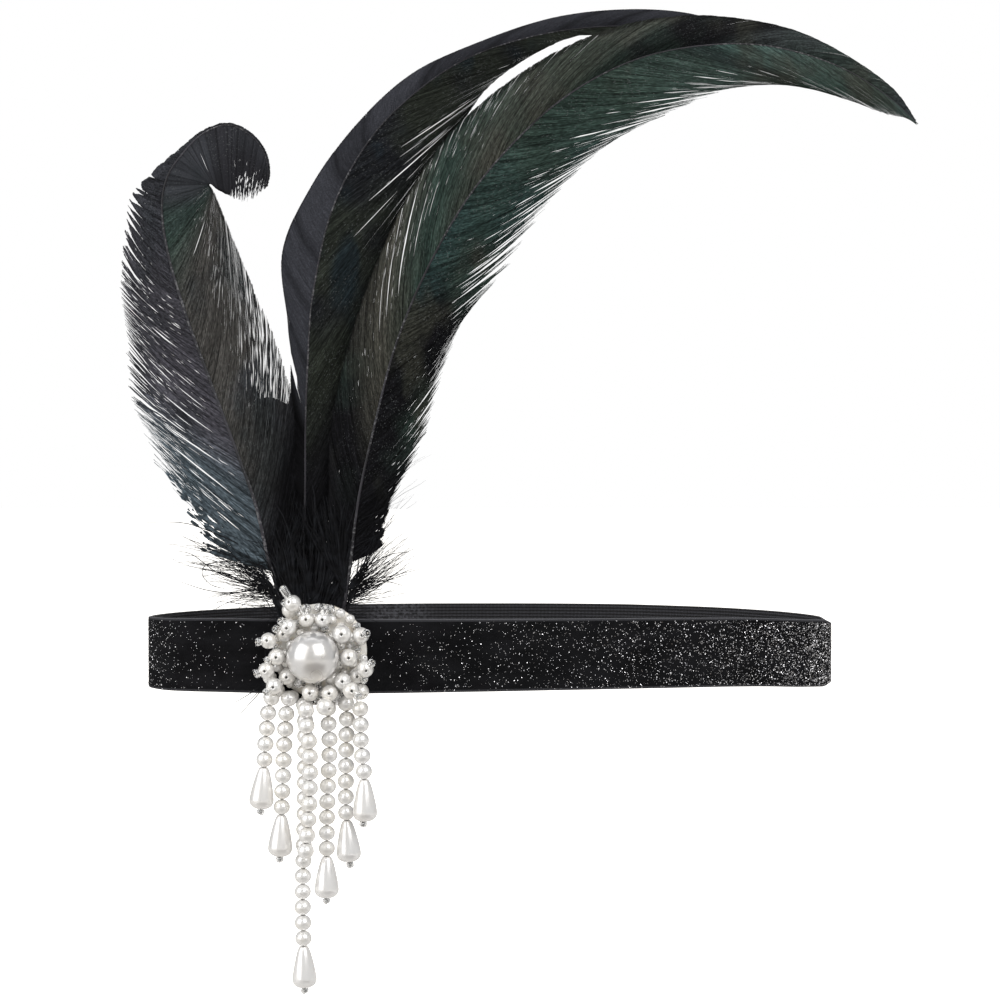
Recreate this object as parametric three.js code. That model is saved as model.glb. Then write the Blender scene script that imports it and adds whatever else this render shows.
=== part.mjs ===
import * as THREE from "three";

// A beaded feather headband, in millimetres. The band is a flattened stretch loop, X runs along it,
// Y from its front to its back and Z up. The origin is the middle of the loop, half way up the band.

// The gap that pieces keep where they touch
const clearance = 0.3;

// The band
const bandHeight = 25;
const bandWall = 1.6;
const bandEdgeRound = 0.5;
const loopHalfWidth = 119;
const loopHalfDepth = 36;
const loopStepsPerRow = 5;

// The brooch
const broochAcross = -57.8;
const broochUp = 1.4;
const baseRadius = 17.7;
const baseThickness = 3;
const baseBevel = 1;
const baseSides = 32;
const centrePearlRadius = 8.6;
const pearlDiameter = 5.17;
const stemRadius = 0.7;
const threadRadius = 0.45;
const beadHoleRadius = 0.95;
const dropLength = 13.8;
const dropRadius = 4;
const beadSides = 10;
const beadFaceShare = 0.35;
const centrePearlSides = 16;
const centrePearlRings = 9;
const routeDivisions = 400;

// The feathers, each with its height above the middle of the brooch
const leftFeatherHeight = 177;
const middleFeatherHeight = 210;
const rightFeatherHeight = 204;
const quillRadius = 1.1;
const shaftTipRadius = 0.35;
const vaneThickness = 0.9;
const vaneCamber = 0.06;
const featherStepsPerRow = 3;

const colours = {
  velvet: { color: 0x0c0c0f, roughness: 0.85, metalness: 0 },
  darkFeather: { color: 0x131517, roughness: 0.55, metalness: 0 },
  greenFeather: { color: 0x14201d, roughness: 0.5, metalness: 0 },
  pearl: { color: 0xf4efe8, roughness: 0.22, metalness: 0 },
  ivory: { color: 0xe8ddca, roughness: 0.4, metalness: 0 },
};

function table(columns, rows) {
  return rows.map((row) => Object.fromEntries(columns.map((name, i) => [name, row[i]])));
}

// The loop's plan from its left fold, by the front to its right fold and along the back. across and
// depth are shares of the half width and half depth, rise and height of the band's height.
const loopRows = table(["across", "depth", "rise", "height"], [
  [-0.993, -0.14, -0.045, 0.98],
  [-0.93, -0.52, -0.03, 0.99],
  [-0.76, -0.83, 0, 1],
  [-0.50, -0.97, 0, 1],
  [-0.22, -0.92, 0, 0.99],
  [0.17, -0.78, 0, 0.97],
  [0.50, -0.56, -0.01, 0.96],
  [0.76, -0.34, -0.03, 0.95],
  [0.93, -0.16, -0.07, 0.94],
  [1.00, 0.07, -0.09, 0.94],
  [0.95, 0.30, -0.06, 0.95],
  [0.76, 0.60, -0.02, 0.97],
  [0.42, 0.87, 0, 1],
  [0, 1.00, 0, 1],
  [-0.42, 0.87, 0, 1],
  [-0.76, 0.54, -0.02, 1],
  [-0.94, 0.20, -0.04, 0.99],
]);

// The feathers' rows, from the quill to the tip, as shares of the feather's height from the middle of
// the brooch: where the shaft and the vane's two edges lie, how far back, and how deep the locks cut in.
const featherColumns = [
  "shaftX", "shaftZ", "leftX", "leftZ", "rightX", "rightZ", "depth", "leftFray", "rightFray",
];
const rightFeatherRows = table(featherColumns, [
  [0.014, -0.02, 0.009, -0.02, 0.019, -0.02, 0, 0, 0],
  [0.047, 0.087, 0.042, 0.092, 0.053, 0.092, -0.001, 0, 0],
  [0.050, 0.106, 0.036, 0.129, 0.133, 0.100, -0.004, 0.3, 0.3],
  [0.056, 0.143, 0.023, 0.185, 0.147, 0.159, -0.008, 0.25, 0.35],
  [0.063, 0.201, 0.021, 0.283, 0.136, 0.250, -0.015, 0.1, 0.3],
  [0.073, 0.266, 0.025, 0.372, 0.172, 0.334, -0.020, 0.1, 0.25],
  [0.099, 0.380, 0.058, 0.517, 0.196, 0.418, -0.025, 0.1, 0.2],
  [0.130, 0.496, 0.106, 0.650, 0.238, 0.538, -0.029, 0.1, 0.2],
  [0.177, 0.611, 0.178, 0.789, 0.306, 0.621, -0.034, 0.15, 0.15],
  [0.247, 0.735, 0.264, 0.880, 0.377, 0.728, -0.034, 0.12, 0.18],
  [0.329, 0.833, 0.372, 0.959, 0.480, 0.828, -0.029, 0.08, 0.15],
  [0.411, 0.904, 0.480, 1.008, 0.583, 0.880, -0.025, 0.05, 0.12],
  [0.513, 0.959, 0.593, 1.034, 0.684, 0.919, -0.015, 0, 0.1],
  [0.624, 0.986, 0.692, 1.032, 0.786, 0.923, 0, 0, 0.08],
  [0.739, 0.988, 0.788, 1.013, 0.866, 0.904, 0.015, 0, 0.05],
  [0.855, 0.957, 0.882, 0.968, 0.934, 0.882, 0.029, 0, 0],
  [0.937, 0.911, 0.950, 0.920, 0.972, 0.875, 0.044, 0, 0],
  [0.988, 0.868, 0.987, 0.871, 0.987, 0.866, 0.054, 0, 0],
]);
const middleFeatherRows = table(featherColumns, [
  [-0.012, -0.02, -0.017, -0.02, -0.007, -0.02, 0, 0, 0],
  [-0.020, 0.087, -0.025, 0.092, -0.015, 0.092, 0, 0, 0],
  [-0.020, 0.115, -0.040, 0.147, 0.006, 0.147, 0.006, 0.15, 0.15],
  [-0.020, 0.179, -0.087, 0.277, 0.034, 0.290, 0.015, 0.1, 0.1],
  [-0.019, 0.274, -0.111, 0.388, 0.056, 0.417, 0.020, 0.05, 0.1],
  [-0.019, 0.354, -0.046, 0.446, 0.075, 0.513, 0.025, 0, 0.1],
  [-0.016, 0.449, -0.047, 0.516, 0.094, 0.611, 0.029, 0.1, 0.12],
  [-0.007, 0.574, -0.057, 0.638, 0.135, 0.720, 0.038, 0, 0.15],
  [0.026, 0.713, -0.011, 0.743, 0.208, 0.829, 0.043, 0, 0.15],
  [0.079, 0.812, 0.061, 0.842, 0.269, 0.900, 0.048, 0, 0.12],
  [0.147, 0.886, 0.149, 0.923, 0.345, 0.951, 0.052, 0, 0.08],
  [0.238, 0.948, 0.259, 0.976, 0.438, 0.987, 0.057, 0, 0.05],
  [0.355, 0.987, 0.384, 1.017, 0.532, 0.979, 0.062, 0, 0],
  [0.484, 1.002, 0.519, 1.030, 0.622, 0.948, 0.067, 0, 0],
  [0.590, 0.992, 0.616, 1.019, 0.680, 0.942, 0.071, 0, 0],
  [0.661, 0.969, 0.674, 0.994, 0.695, 0.943, 0.076, 0, 0],
  [0.699, 0.947, 0.700, 0.950, 0.699, 0.944, 0.079, 0, 0],
]);
const leftFeatherRows = table(featherColumns, [
  [-0.035, -0.02, -0.041, -0.02, -0.029, -0.02, 0, 0, 0],
  [-0.070, 0.104, -0.076, 0.109, -0.064, 0.109, 0, 0, 0],
  [-0.074, 0.122, -0.207, 0.100, -0.057, 0.149, 0, 0.35, 0.2],
  [-0.079, 0.149, -0.260, 0.171, -0.049, 0.203, 0, 0.35, 0.1],
  [-0.089, 0.175, -0.306, 0.346, -0.038, 0.333, 0, 0.25, 0.1],
  [-0.113, 0.278, -0.334, 0.438, -0.039, 0.400, 0, 0.25, 0.1],
  [-0.143, 0.363, -0.351, 0.479, -0.043, 0.468, 0.002, 0.3, 0.1],
  [-0.195, 0.502, -0.360, 0.614, -0.075, 0.581, 0.006, 0.2, 0.1],
  [-0.242, 0.631, -0.369, 0.689, -0.127, 0.706, 0.006, 0.2, 0.1],
  [-0.277, 0.753, -0.357, 0.809, -0.175, 0.825, 0.003, 0.25, 0.1],
  [-0.287, 0.840, -0.347, 0.857, -0.191, 0.866, 0, 0.3, 0],
  [-0.276, 0.894, -0.305, 0.903, -0.199, 0.879, 0, 0.2, 0],
  [-0.248, 0.938, -0.259, 0.943, -0.196, 0.880, 0.006, 0, 0],
  [-0.213, 0.977, -0.213, 0.983, -0.189, 0.874, 0.023, 0, 0.1],
  [-0.170, 0.997, -0.168, 1.001, -0.170, 0.865, 0.051, 0, 0.15],
  [-0.131, 0.982, -0.128, 0.986, -0.149, 0.855, 0.079, 0, 0.15],
  [-0.107, 0.951, -0.103, 0.953, -0.127, 0.865, 0.102, 0, 0.1],
  [-0.101, 0.916, -0.097, 0.916, -0.111, 0.882, 0.113, 0, 0],
  [-0.105, 0.888, -0.103, 0.888, -0.107, 0.884, 0.119, 0, 0],
]);

// The small pearls on stems. across, up and reach are in pearl diameters from the middle of the base's
// front, size is a share of the pearl's diameter, and seatX and seatZ are shares of the base's radius.
const stalkRows = table(["across", "up", "reach", "size", "seatX", "seatZ"], [
  [-1.30, 3.39, 1.55, 1.04, -0.186, 0.876],
  [-1.57, 2.89, 0.68, 0.96, -0.43, 0.785],
  [-0.46, 2.35, 1.16, 0.97, -0.136, 0.687],
  [0.58, 2.35, 1.16, 0.97, 0.168, 0.687],
  [-1.57, 1.90, 1.55, 1, -0.39, 0.616],
  [-1.95, 1.39, 0.68, 1, -0.57, 0.407],
  [-2.86, 0.99, 1.26, 1, -0.79, 0.249],
  [-2.35, -0.05, 1.16, 1.04, -0.686, -0.014],
  [-3.00, -0.89, 1.26, 1, -0.825, -0.243],
  [-1.71, -1.34, 0.87, 1.02, -0.498, -0.393],
  [-2.48, -1.87, 1.47, 1, -0.695, -0.52],
  [1.79, 1.42, 1.35, 1.14, 0.507, 0.403],
  [3.00, 1.32, 1.16, 1, 0.80, 0.35],
  [2.26, -0.05, 1.45, 1.07, 0.654, -0.014],
  [3.29, -0.77, 1.55, 1.04, 0.876, -0.141],
  [2.70, -1.28, 0.72, 1, 0.76, -0.36],
  [1.86, -1.54, 1.47, 1.02, 0.544, -0.45],
  [2.44, -2.06, 2.20, 1.02, 0.60, -0.616],
  [2.96, -2.32, 0.64, 1, 0.70, -0.57],
  [-0.22, -2.32, 1.16, 1.05, -0.063, -0.677],
  [1.02, -2.32, 1.35, 1.02, 0.297, -0.677],
]);

// The strings' routes, from the middle of the base's front, as points chosen along each: across, reach
// forward and up. The first bead sits on the point numbered first, and the thread runs down to it.
const strandRoutes = [
  { first: 1, beads: 5, drop: true,
    points: [[-11.2, 0.8, -11.4], [-14.2, 3.2, -14.0], [-15.8, 3.2, -24.5], [-16.7, 3, -36], [-17.9, 3, -52]] },
  { first: 1, beads: 8, drop: true,
    points: [[-6.6, 0.8, -12.2], [-8.4, 3.6, -14.2], [-9.7, 3.2, -25], [-10.7, 3, -45], [-11.6, 3, -67.4]] },
  { first: 1, beads: 16, drop: true,
    points: [[-4.4, 0.8, -13.6], [-3.4, 3, -16.4], [-3.4, 2.8, -50], [-4.1, 2.6, -80], [-3.5, 2.6, -110]] },
  { first: 2, beads: 10, drop: false,
    points: [[1.5, 0.8, -14.4], [0, 4.6, -15.8], [-2.4, 9, -17.4], [-1.2, 8.8, -30], [-1.3, 8.6, -48],
      [-2.6, 8.6, -64]] },
  { first: 1, beads: 10, drop: true,
    points: [[4.8, 0.8, -14.2], [4.4, 3, -17.5], [4.9, 3, -28.9], [4.1, 2.8, -49], [3.8, 2.8, -81]] },
  { first: 1, beads: 8, drop: true,
    points: [[8.9, 0.8, -13.2], [10.4, 3.2, -15.9], [10.4, 3, -31], [10.3, 3, -50], [11.5, 2.8, -68]] },
  { first: 2, beads: 5, drop: true,
    points: [[11.4, 0.8, -12.1], [13.2, 2, -14.3], [15.3, 6.6, -17.3], [15.4, 6.9, -27.1], [16.6, 6.9, -40],
      [16.2, 6.9, -54]] },
];

// A drop's outline from its top, as shares of its length and of its largest radius
const dropRows = table(["along", "radius"], [
  [0.02, 0.36], [0.1, 0.5], [0.28, 0.68], [0.5, 0.85], [0.7, 0.97], [0.82, 1], [0.92, 0.85], [0.98, 0.52],
  [1, 0.25],
]);

// A body through sections with as many points each, closed on itself or flat at both ends
function loft(sections, closed) {
  const ring = sections[0].length;
  const faces = [];
  const spans = closed ? sections.length : sections.length - 1;
  for (let i = 0; i < spans; i += 1) {
    const here = i * ring;
    const there = ((i + 1) % sections.length) * ring;
    for (let j = 0; j < ring; j += 1) {
      const k = (j + 1) % ring;
      faces.push(here + j, here + k, there + k, here + j, there + k, there + j);
    }
  }
  const last = (sections.length - 1) * ring;
  for (let j = 1; j < ring - 1 && !closed; j += 1) {
    faces.push(0, j + 1, j, last, last + j, last + j + 1);
  }
  const geometry = new THREE.BufferGeometry();
  const corners = sections.flat().flatMap((point) => point.toArray());
  geometry.setAttribute("position", new THREE.Float32BufferAttribute(corners, 3));
  geometry.setIndex(faces);
  return facingOut(geometry);
}

// Turns the faces round if they point into the body
function facingOut(geometry) {
  const at = geometry.getAttribute("position");
  const faces = geometry.getIndex().array;
  const corner = (n) => new THREE.Vector3().fromBufferAttribute(at, faces[n]);
  let volume = 0;
  for (let n = 0; n < faces.length; n += 3) {
    volume += corner(n).dot(corner(n + 1).cross(corner(n + 2)));
  }
  if (volume < 0) {
    for (let n = 0; n < faces.length; n += 3) {
      [faces[n], faces[n + 1]] = [faces[n + 1], faces[n]];
    }
  }
  geometry.computeVertexNormals();
  return geometry;
}

function piece(name, geometry, colour) {
  const mesh = new THREE.Mesh(geometry, new THREE.MeshStandardMaterial(colour));
  mesh.name = name;
  return mesh;
}

// The band's middle surface: a closed curve whose height is its rise
const loopCurve = new THREE.CatmullRomCurve3(
  loopRows.map(({ across, depth, rise }) =>
    new THREE.Vector3(across * loopHalfWidth, depth * loopHalfDepth, rise * bandHeight)),
  true,
);
const loopSteps = loopRows.length * loopStepsPerRow;

// How much of its height the band keeps at a step: it draws in a little where it folds
function heightKept(step) {
  const row = Math.floor(step / loopStepsPerRow);
  const next = (row + 1) % loopRows.length;
  const share = step / loopStepsPerRow - row;
  return THREE.MathUtils.lerp(loopRows[row].height, loopRows[next].height, share);
}

function makeBand() {
  const halfWall = bandWall / 2;
  const halfHeight = bandHeight / 2;
  const outline = [
    [-halfWall, bandEdgeRound - halfHeight], [bandEdgeRound - halfWall, -halfHeight],
    [halfWall - bandEdgeRound, -halfHeight], [halfWall, bandEdgeRound - halfHeight],
    [halfWall, halfHeight - bandEdgeRound], [halfWall - bandEdgeRound, halfHeight],
    [bandEdgeRound - halfWall, halfHeight], [-halfWall, halfHeight - bandEdgeRound],
  ];
  const sections = [];
  for (let step = 0; step < loopSteps; step += 1) {
    const middle = loopCurve.getPoint(step / loopSteps);
    const along = loopCurve.getTangent(step / loopSteps).setZ(0).normalize();
    const outward = new THREE.Vector3(along.y, -along.x, 0);
    const kept = heightKept(step);
    sections.push(outline.map(([out, up]) =>
      middle.clone().addScaledVector(outward, out).add(new THREE.Vector3(0, 0, up * kept))));
  }
  return piece("band", loft(sections, true), colours.velvet);
}

// The most forward place of the band's face behind the brooch
function bandFrontBehindBrooch() {
  const tries = loopSteps * loopStepsPerRow;
  let front = 0;
  for (let n = 0; n < tries; n += 1) {
    const point = loopCurve.getPoint(n / tries);
    if (Math.abs(point.x - broochAcross) < baseRadius) {
      front = Math.min(front, point.y);
    }
  }
  return front - bandWall / 2;
}

// From the band forward: the quills, the base's back and its front
const quillDepth = bandFrontBehindBrooch() - clearance - quillRadius;
const baseBack = quillDepth - quillRadius - clearance;
const baseFront = baseBack - baseThickness;

function makeFeather(name, rows, height, colour) {
  const place = (row, x, z) => new THREE.Vector3(
    broochAcross + row[x] * height, quillDepth + row.depth * height, broochUp + row[z] * height);
  const lineOf = (x, z) => new THREE.CatmullRomCurve3(rows.map((row) => place(row, x, z)));
  const lines = { shaft: lineOf("shaftX", "shaftZ"), left: lineOf("leftX", "leftZ"),
    right: lineOf("rightX", "rightZ") };
  const steps = (rows.length - 1) * featherStepsPerRow;
  const sections = [];
  for (let step = 0; step <= steps; step += 1) {
    sections.push(featherSection(lines, rows, step, step / steps));
  }
  return piece(name, loft(sections, false), colour);
}

// How far out the vane's edge reaches at a step: each lock grows out to its tip and ends in a notch
function lockReach(rows, fray, step) {
  const row = rows[Math.floor(step / featherStepsPerRow)];
  const phase = (step % featherStepsPerRow) / (featherStepsPerRow - 1);
  return 1 - row[fray] * (1 - phase);
}

// One section of a feather: the left edge, over the front of the shaft to the right edge and back behind
function featherSection(lines, rows, step, share) {
  const shaft = lines.shaft.getPoint(share);
  const radius = quillRadius + (shaftTipRadius - quillRadius) * share;
  const edge = (line, fray) => {
    const tip = line.getPoint(share).lerp(shaft, 1 - lockReach(rows, fray, step));
    tip.y += vaneCamber * tip.distanceTo(shaft);
    return tip;
  };
  const middle = (tip) => {
    const point = tip.clone().lerp(shaft, 0.5);
    point.y -= vaneCamber * tip.distanceTo(shaft) / 4;
    return point;
  };
  const halfThick = Math.min(vaneThickness / 2, radius);
  const shift = (point, forward) => point.clone().add(new THREE.Vector3(0, -forward, 0));
  const left = edge(lines.left, "leftFray");
  const right = edge(lines.right, "rightFray");
  return [
    left, shift(middle(left), halfThick), shift(shaft, radius), shift(middle(right), halfThick),
    right, shift(middle(right), -halfThick), shift(shaft, -radius), shift(middle(left), -halfThick),
  ];
}

// Turns a profile of radius and height round its own axis
function turned(profile, sides) {
  const points = profile.map(([radius, height]) => new THREE.Vector2(radius, height));
  return new THREE.LatheGeometry(points, sides);
}

// A place in front of the base, from its middle: across, forward and up
function onBrooch(across, forward, up) {
  return new THREE.Vector3(broochAcross + across, baseFront - forward, broochUp + up);
}

function makeBroochBase() {
  const profile = [
    [0, 0], [baseRadius - baseBevel, 0], [baseRadius, baseBevel],
    [baseRadius, baseThickness - baseBevel], [baseRadius - baseBevel, baseThickness], [0, baseThickness],
  ];
  const base = piece("brooch_base", turned(profile, baseSides), colours.ivory);
  base.position.copy(onBrooch(0, 0, 0));
  return base;
}

function makeCentrePearl() {
  const sphere = new THREE.SphereGeometry(centrePearlRadius, centrePearlSides, centrePearlRings);
  const pearl = piece("centre_pearl", sphere, colours.pearl);
  pearl.position.copy(onBrooch(0, clearance + centrePearlRadius, 0));
  return pearl;
}

// The small pearls follow the pearl's own size, and are pushed out where the large one needs the room
function stalkPearlPlace({ across, up, reach, size }) {
  const flat = Math.hypot(across, up);
  const radius = pearlDiameter * size / 2;
  const rise = reach * pearlDiameter - centrePearlRadius - clearance;
  const apart = centrePearlRadius + radius + clearance / 2;
  const room = Math.sqrt(Math.max(apart ** 2 - rise ** 2, 0));
  const out = Math.max(flat * pearlDiameter, room) / flat;
  return onBrooch(across * out, reach * pearlDiameter, up * out);
}

function makeStalkPearl(row, index) {
  const centre = stalkPearlPlace(row);
  const seat = onBrooch(row.seatX * baseRadius, 0, row.seatZ * baseRadius);
  const along = centre.clone().sub(seat);
  const tilt = along.angleTo(new THREE.Vector3(0, -1, 0));
  const start = (clearance + stemRadius * Math.sin(tilt)) / Math.cos(tilt);
  const length = along.length() - start;
  const radius = pearlDiameter * row.size / 2;
  const neck = length - Math.sqrt(radius ** 2 - stemRadius ** 2);
  const shoulder = radius * Math.SQRT1_2;
  const profile = [
    [0, 0], [stemRadius, 0], [stemRadius, neck], [shoulder, length - shoulder], [radius, length],
    [shoulder, length + shoulder], [0, length + radius],
  ];
  const name = `stalk_pearl_${String(index + 1).padStart(2, "0")}`;
  const pearl = piece(name, turned(profile, beadSides), colours.pearl);
  along.normalize();
  pearl.quaternion.setFromUnitVectors(new THREE.Vector3(0, 1, 0), along);
  pearl.position.copy(seat).addScaledVector(along, start);
  return pearl;
}

// The string's outline along its route, from the thread's end: a neck between beads, then the drop
function strandOutline(firstBead, beads, drop) {
  const beadRadius = pearlDiameter / 2;
  const faceHalf = beadRadius * beadFaceShare;
  const faceRadius = Math.sqrt(beadRadius ** 2 - faceHalf ** 2);
  const outline = [[0, threadRadius], [firstBead - beadRadius, threadRadius]];
  let centre = firstBead;
  for (let bead = 0; bead < beads; bead += 1) {
    centre = firstBead + bead * pearlDiameter;
    outline.push([centre - faceHalf, faceRadius], [centre + faceHalf, faceRadius]);
    outline.push([centre + beadRadius, beadHoleRadius]);
  }
  const dropTop = centre + beadRadius;
  for (const { along, radius } of drop ? dropRows : []) {
    outline.push([dropTop + along * dropLength, radius * dropRadius]);
  }
  return outline;
}

function makeStrand({ first, beads, drop, points }, index) {
  const route = new THREE.CatmullRomCurve3(points.map((point) => onBrooch(...point)));
  const lengths = route.getLengths(routeDivisions);
  const firstBead = lengths[Math.round(routeDivisions * first / (points.length - 1))];
  const total = route.getLength();
  const sections = strandOutline(firstBead, beads, drop).map(([distance, radius]) => {
    const share = Math.min(distance / total, 1);
    const along = route.getTangentAt(share);
    const centre = route.getPointAt(share).addScaledVector(along, Math.max(distance - total, 0));
    const side = new THREE.Vector3(0, 1, 0).cross(along).normalize();
    const forward = along.clone().cross(side);
    return Array.from({ length: beadSides }, (_, corner) => {
      const turn = corner * 2 * Math.PI / beadSides;
      return centre.clone().addScaledVector(side, radius * Math.cos(turn))
        .addScaledVector(forward, radius * Math.sin(turn));
    });
  });
  return piece(`strand_${index + 1}`, loft(sections, false), colours.pearl);
}

const brooch = new THREE.Group();
brooch.add(makeBroochBase(), makeCentrePearl(), ...stalkRows.map(makeStalkPearl));
brooch.add(...strandRoutes.map(makeStrand));

const feathers = new THREE.Group();
feathers.add(
  makeFeather("feather_left", leftFeatherRows, leftFeatherHeight, colours.darkFeather),
  makeFeather("feather_middle", middleFeatherRows, middleFeatherHeight, colours.darkFeather),
  makeFeather("feather_right", rightFeatherRows, rightFeatherHeight, colours.greenFeather),
);

const headband = new THREE.Group();
headband.add(makeBand(), feathers, brooch);

export default headband;
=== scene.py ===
from math import cos, pi, radians, sin, sqrt

import bpy
import numpy as np
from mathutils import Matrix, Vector


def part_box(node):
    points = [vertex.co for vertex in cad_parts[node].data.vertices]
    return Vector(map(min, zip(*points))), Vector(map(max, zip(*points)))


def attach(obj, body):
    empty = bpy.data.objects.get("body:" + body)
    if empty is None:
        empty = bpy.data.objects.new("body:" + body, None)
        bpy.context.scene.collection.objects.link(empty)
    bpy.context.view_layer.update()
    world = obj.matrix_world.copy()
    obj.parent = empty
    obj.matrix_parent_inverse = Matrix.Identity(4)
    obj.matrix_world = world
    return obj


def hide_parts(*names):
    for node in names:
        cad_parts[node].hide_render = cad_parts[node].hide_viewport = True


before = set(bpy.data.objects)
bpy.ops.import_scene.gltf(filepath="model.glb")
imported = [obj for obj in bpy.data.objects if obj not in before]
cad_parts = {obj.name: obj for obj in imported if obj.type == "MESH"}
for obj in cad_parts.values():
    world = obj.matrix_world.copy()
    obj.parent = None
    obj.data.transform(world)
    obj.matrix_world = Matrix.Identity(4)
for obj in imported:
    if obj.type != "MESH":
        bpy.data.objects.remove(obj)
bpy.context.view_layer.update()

# Lengths are in millimetres until makePiece turns them into metres
millimetre = 0.001
clearance = 0.3
front = np.array([0.0, -1.0, 0.0])
upward = np.array([0.0, 0.0, 1.0])

# shader maths


class Wire:
    # one socket of a finish, with arithmetic that adds Math nodes
    def __init__(self, finish, socket):
        self.finish, self.socket = finish, socket

    def __getitem__(self, name):
        return Wire(self.finish, self.socket.node.outputs[name])

    def maths(self, operation, *terms):
        return self.finish.node("ShaderNodeMath", {"operation": operation}, dict(enumerate(terms)))

    def __add__(self, other):
        return self.maths("ADD", self, other)

    def __sub__(self, other):
        return self.maths("SUBTRACT", self, other)

    def __rsub__(self, other):
        return self.maths("SUBTRACT", other, self)

    def __mul__(self, other):
        return self.maths("MULTIPLY", self, other)

    def __gt__(self, other):
        return self.maths("GREATER_THAN", self, other)

    def __lt__(self, other):
        return self.maths("LESS_THAN", self, other)

    def __abs__(self):
        return self.maths("ABSOLUTE", self)

    __radd__ = __add__
    __rmul__ = __mul__

    def sine(self):
        return self.maths("SINE", self)

    def ramp(self, stops, smooth=True):
        # stops are pairs of a place and a grey or a colour
        return self.finish.node("ShaderNodeValToRGB", {"stops": stops, "smooth": smooth}, {0: self})

    def spread(self, low, high, newLow=0.0, newHigh=1.0):
        return self.finish.node("ShaderNodeMapRange", {"interpolation_type": "SMOOTHSTEP"},
                                {0: self, 1: low, 2: high, 3: newLow, 4: newHigh})


class Nodes:
    # a node tree under construction
    def __init__(self, tree):
        self.tree = tree

    def node(self, kind, settings=None, values=None, output=0):
        made = self.tree.nodes.new(kind)
        settings = dict(settings or {})
        stops, smooth = settings.pop("stops", None), settings.pop("smooth", True)
        for key, value in settings.items():
            setattr(made, key, value)
        if stops:
            made.color_ramp.interpolation = "EASE" if smooth else "LINEAR"
            while len(made.color_ramp.elements) < len(stops):
                made.color_ramp.elements.new(0.5)
            for element, (place, colour) in zip(made.color_ramp.elements, stops):
                grey = isinstance(colour, (int, float))
                element.position = place
                element.color = (colour, colour, colour, 1) if grey else (*colour, 1)
        for key, value in (values or {}).items():
            self.plug(made.inputs[key], value)
        return Wire(self, made.outputs[output])

    def plug(self, socket, value):
        if isinstance(value, Wire):
            self.tree.links.new(value.socket, socket)
        elif isinstance(value, tuple) and len(value) == 3 and socket.type == "RGBA":
            socket.default_value = (*value, 1)
        else:
            socket.default_value = value

    def mix(self, share, first, second, how="MIX"):
        return self.node("ShaderNodeMix", {"data_type": "RGBA", "blend_type": how},
                         {0: share, 6: first, 7: second}, 2)

    def shaded(self, colour, shade):
        return self.mix(1.0, colour, self.point(shade, shade, shade), "MULTIPLY")

    def map(self, name):
        at = self.node("ShaderNodeUVMap", {"uv_map": name})
        parts = self.node("ShaderNodeSeparateXYZ", None, {0: at})
        return parts["X"], parts["Y"]

    def place(self):
        return self.node("ShaderNodeTexCoord")["Object"]

    def point(self, x, y, z=0.0):
        return self.node("ShaderNodeCombineXYZ", None, {0: x, 1: y, 2: z})

    def noise(self, at, scale, detail=2.0, rough=0.5, stretch=(1, 1, 1)):
        at = self.node("ShaderNodeMapping", None, {0: at, 3: stretch})
        return self.node("ShaderNodeTexNoise", None,
                         {"Vector": at, "Scale": scale, "Detail": detail, "Roughness": rough})


class Finish(Nodes):
    # a material under construction, round one Principled shader
    def __init__(self, name, **constants):
        self.material = bpy.data.materials.new(name)
        self.material.use_nodes = True
        super().__init__(self.material.node_tree)
        self.shader = self.tree.nodes["Principled BSDF"]
        self.feed(**constants)

    def feed(self, **values):
        # baseColor becomes the socket Base Color
        for key, value in values.items():
            words = "".join(" " + c if c.isupper() else c for c in key).title()
            self.plug(self.shader.inputs[words.replace("Ior", "IOR")], value)

    def bump(self, height, strength, distance):
        self.feed(normal=self.node("ShaderNodeBump", None,
                                   {"Height": height, "Strength": strength, "Distance": distance}))


# meshes


class Spline:
    # a smooth curve through its points, spaced by the root of their distances
    def __init__(self, points, closed=False):
        at = np.asarray(points, float)
        if closed:
            ring = [np.roll(at, shift, axis=0) for shift in (1, 0, -1, -2)]
        else:
            line = np.concatenate([[2 * at[0] - at[1]], at, [2 * at[-1] - at[-2]]])
            ring = [line[i:len(line) - 3 + i] for i in range(4)]
        steps = [np.sqrt(np.linalg.norm(b - a, axis=1))[:, None] for a, b in zip(ring, ring[1:])]
        (p0, p1, p2, p3), (d0, d1, d2) = ring, steps
        t1 = ((p1 - p0) / d0 - (p2 - p0) / (d0 + d1) + (p2 - p1) / d1) * d1
        t2 = ((p2 - p1) / d1 - (p3 - p1) / (d1 + d2) + (p3 - p2) / d2) * d1
        self.parts = [p1, t1, -3 * p1 + 3 * p2 - 2 * t1 - t2, 2 * p1 - 2 * p2 + t1 + t2]
        self.spans, self.closed = len(p1), closed
        self.shares = np.linspace(0, 1, 3001)
        run = np.linalg.norm(np.diff(self.at(self.shares), axis=0), axis=1)
        self.run = np.concatenate([[0], np.cumsum(run)])
        self.length = self.run[-1]

    def at(self, share):
        share = np.asarray(share, float)
        place = (share % 1.0 if self.closed else np.clip(share, 0, 1)) * self.spans
        span = np.clip(place.astype(int), 0, self.spans - 1)
        w = (place - span)[..., None]
        a, b, c, d = (part[span] for part in self.parts)
        return a + w * (b + w * (c + w * d))

    def shareAt(self, distance):
        return np.interp(distance, self.run, self.shares)

    def atDistance(self, distance):
        # goes straight on past the end
        past = np.maximum(np.asarray(distance, float) - self.length, 0)[..., None]
        ahead = unit(self.at(1.0) - self.at(0.995))
        return self.at(self.shareAt(distance)) + past * ahead


def unit(vectors):
    return vectors / np.maximum(np.linalg.norm(vectors, axis=-1, keepdims=True), 1e-9)


def smoothStep(value, low, high):
    share = np.clip((value - low) / (high - low), 0, 1)
    return share * share * (3 - 2 * share)


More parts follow.
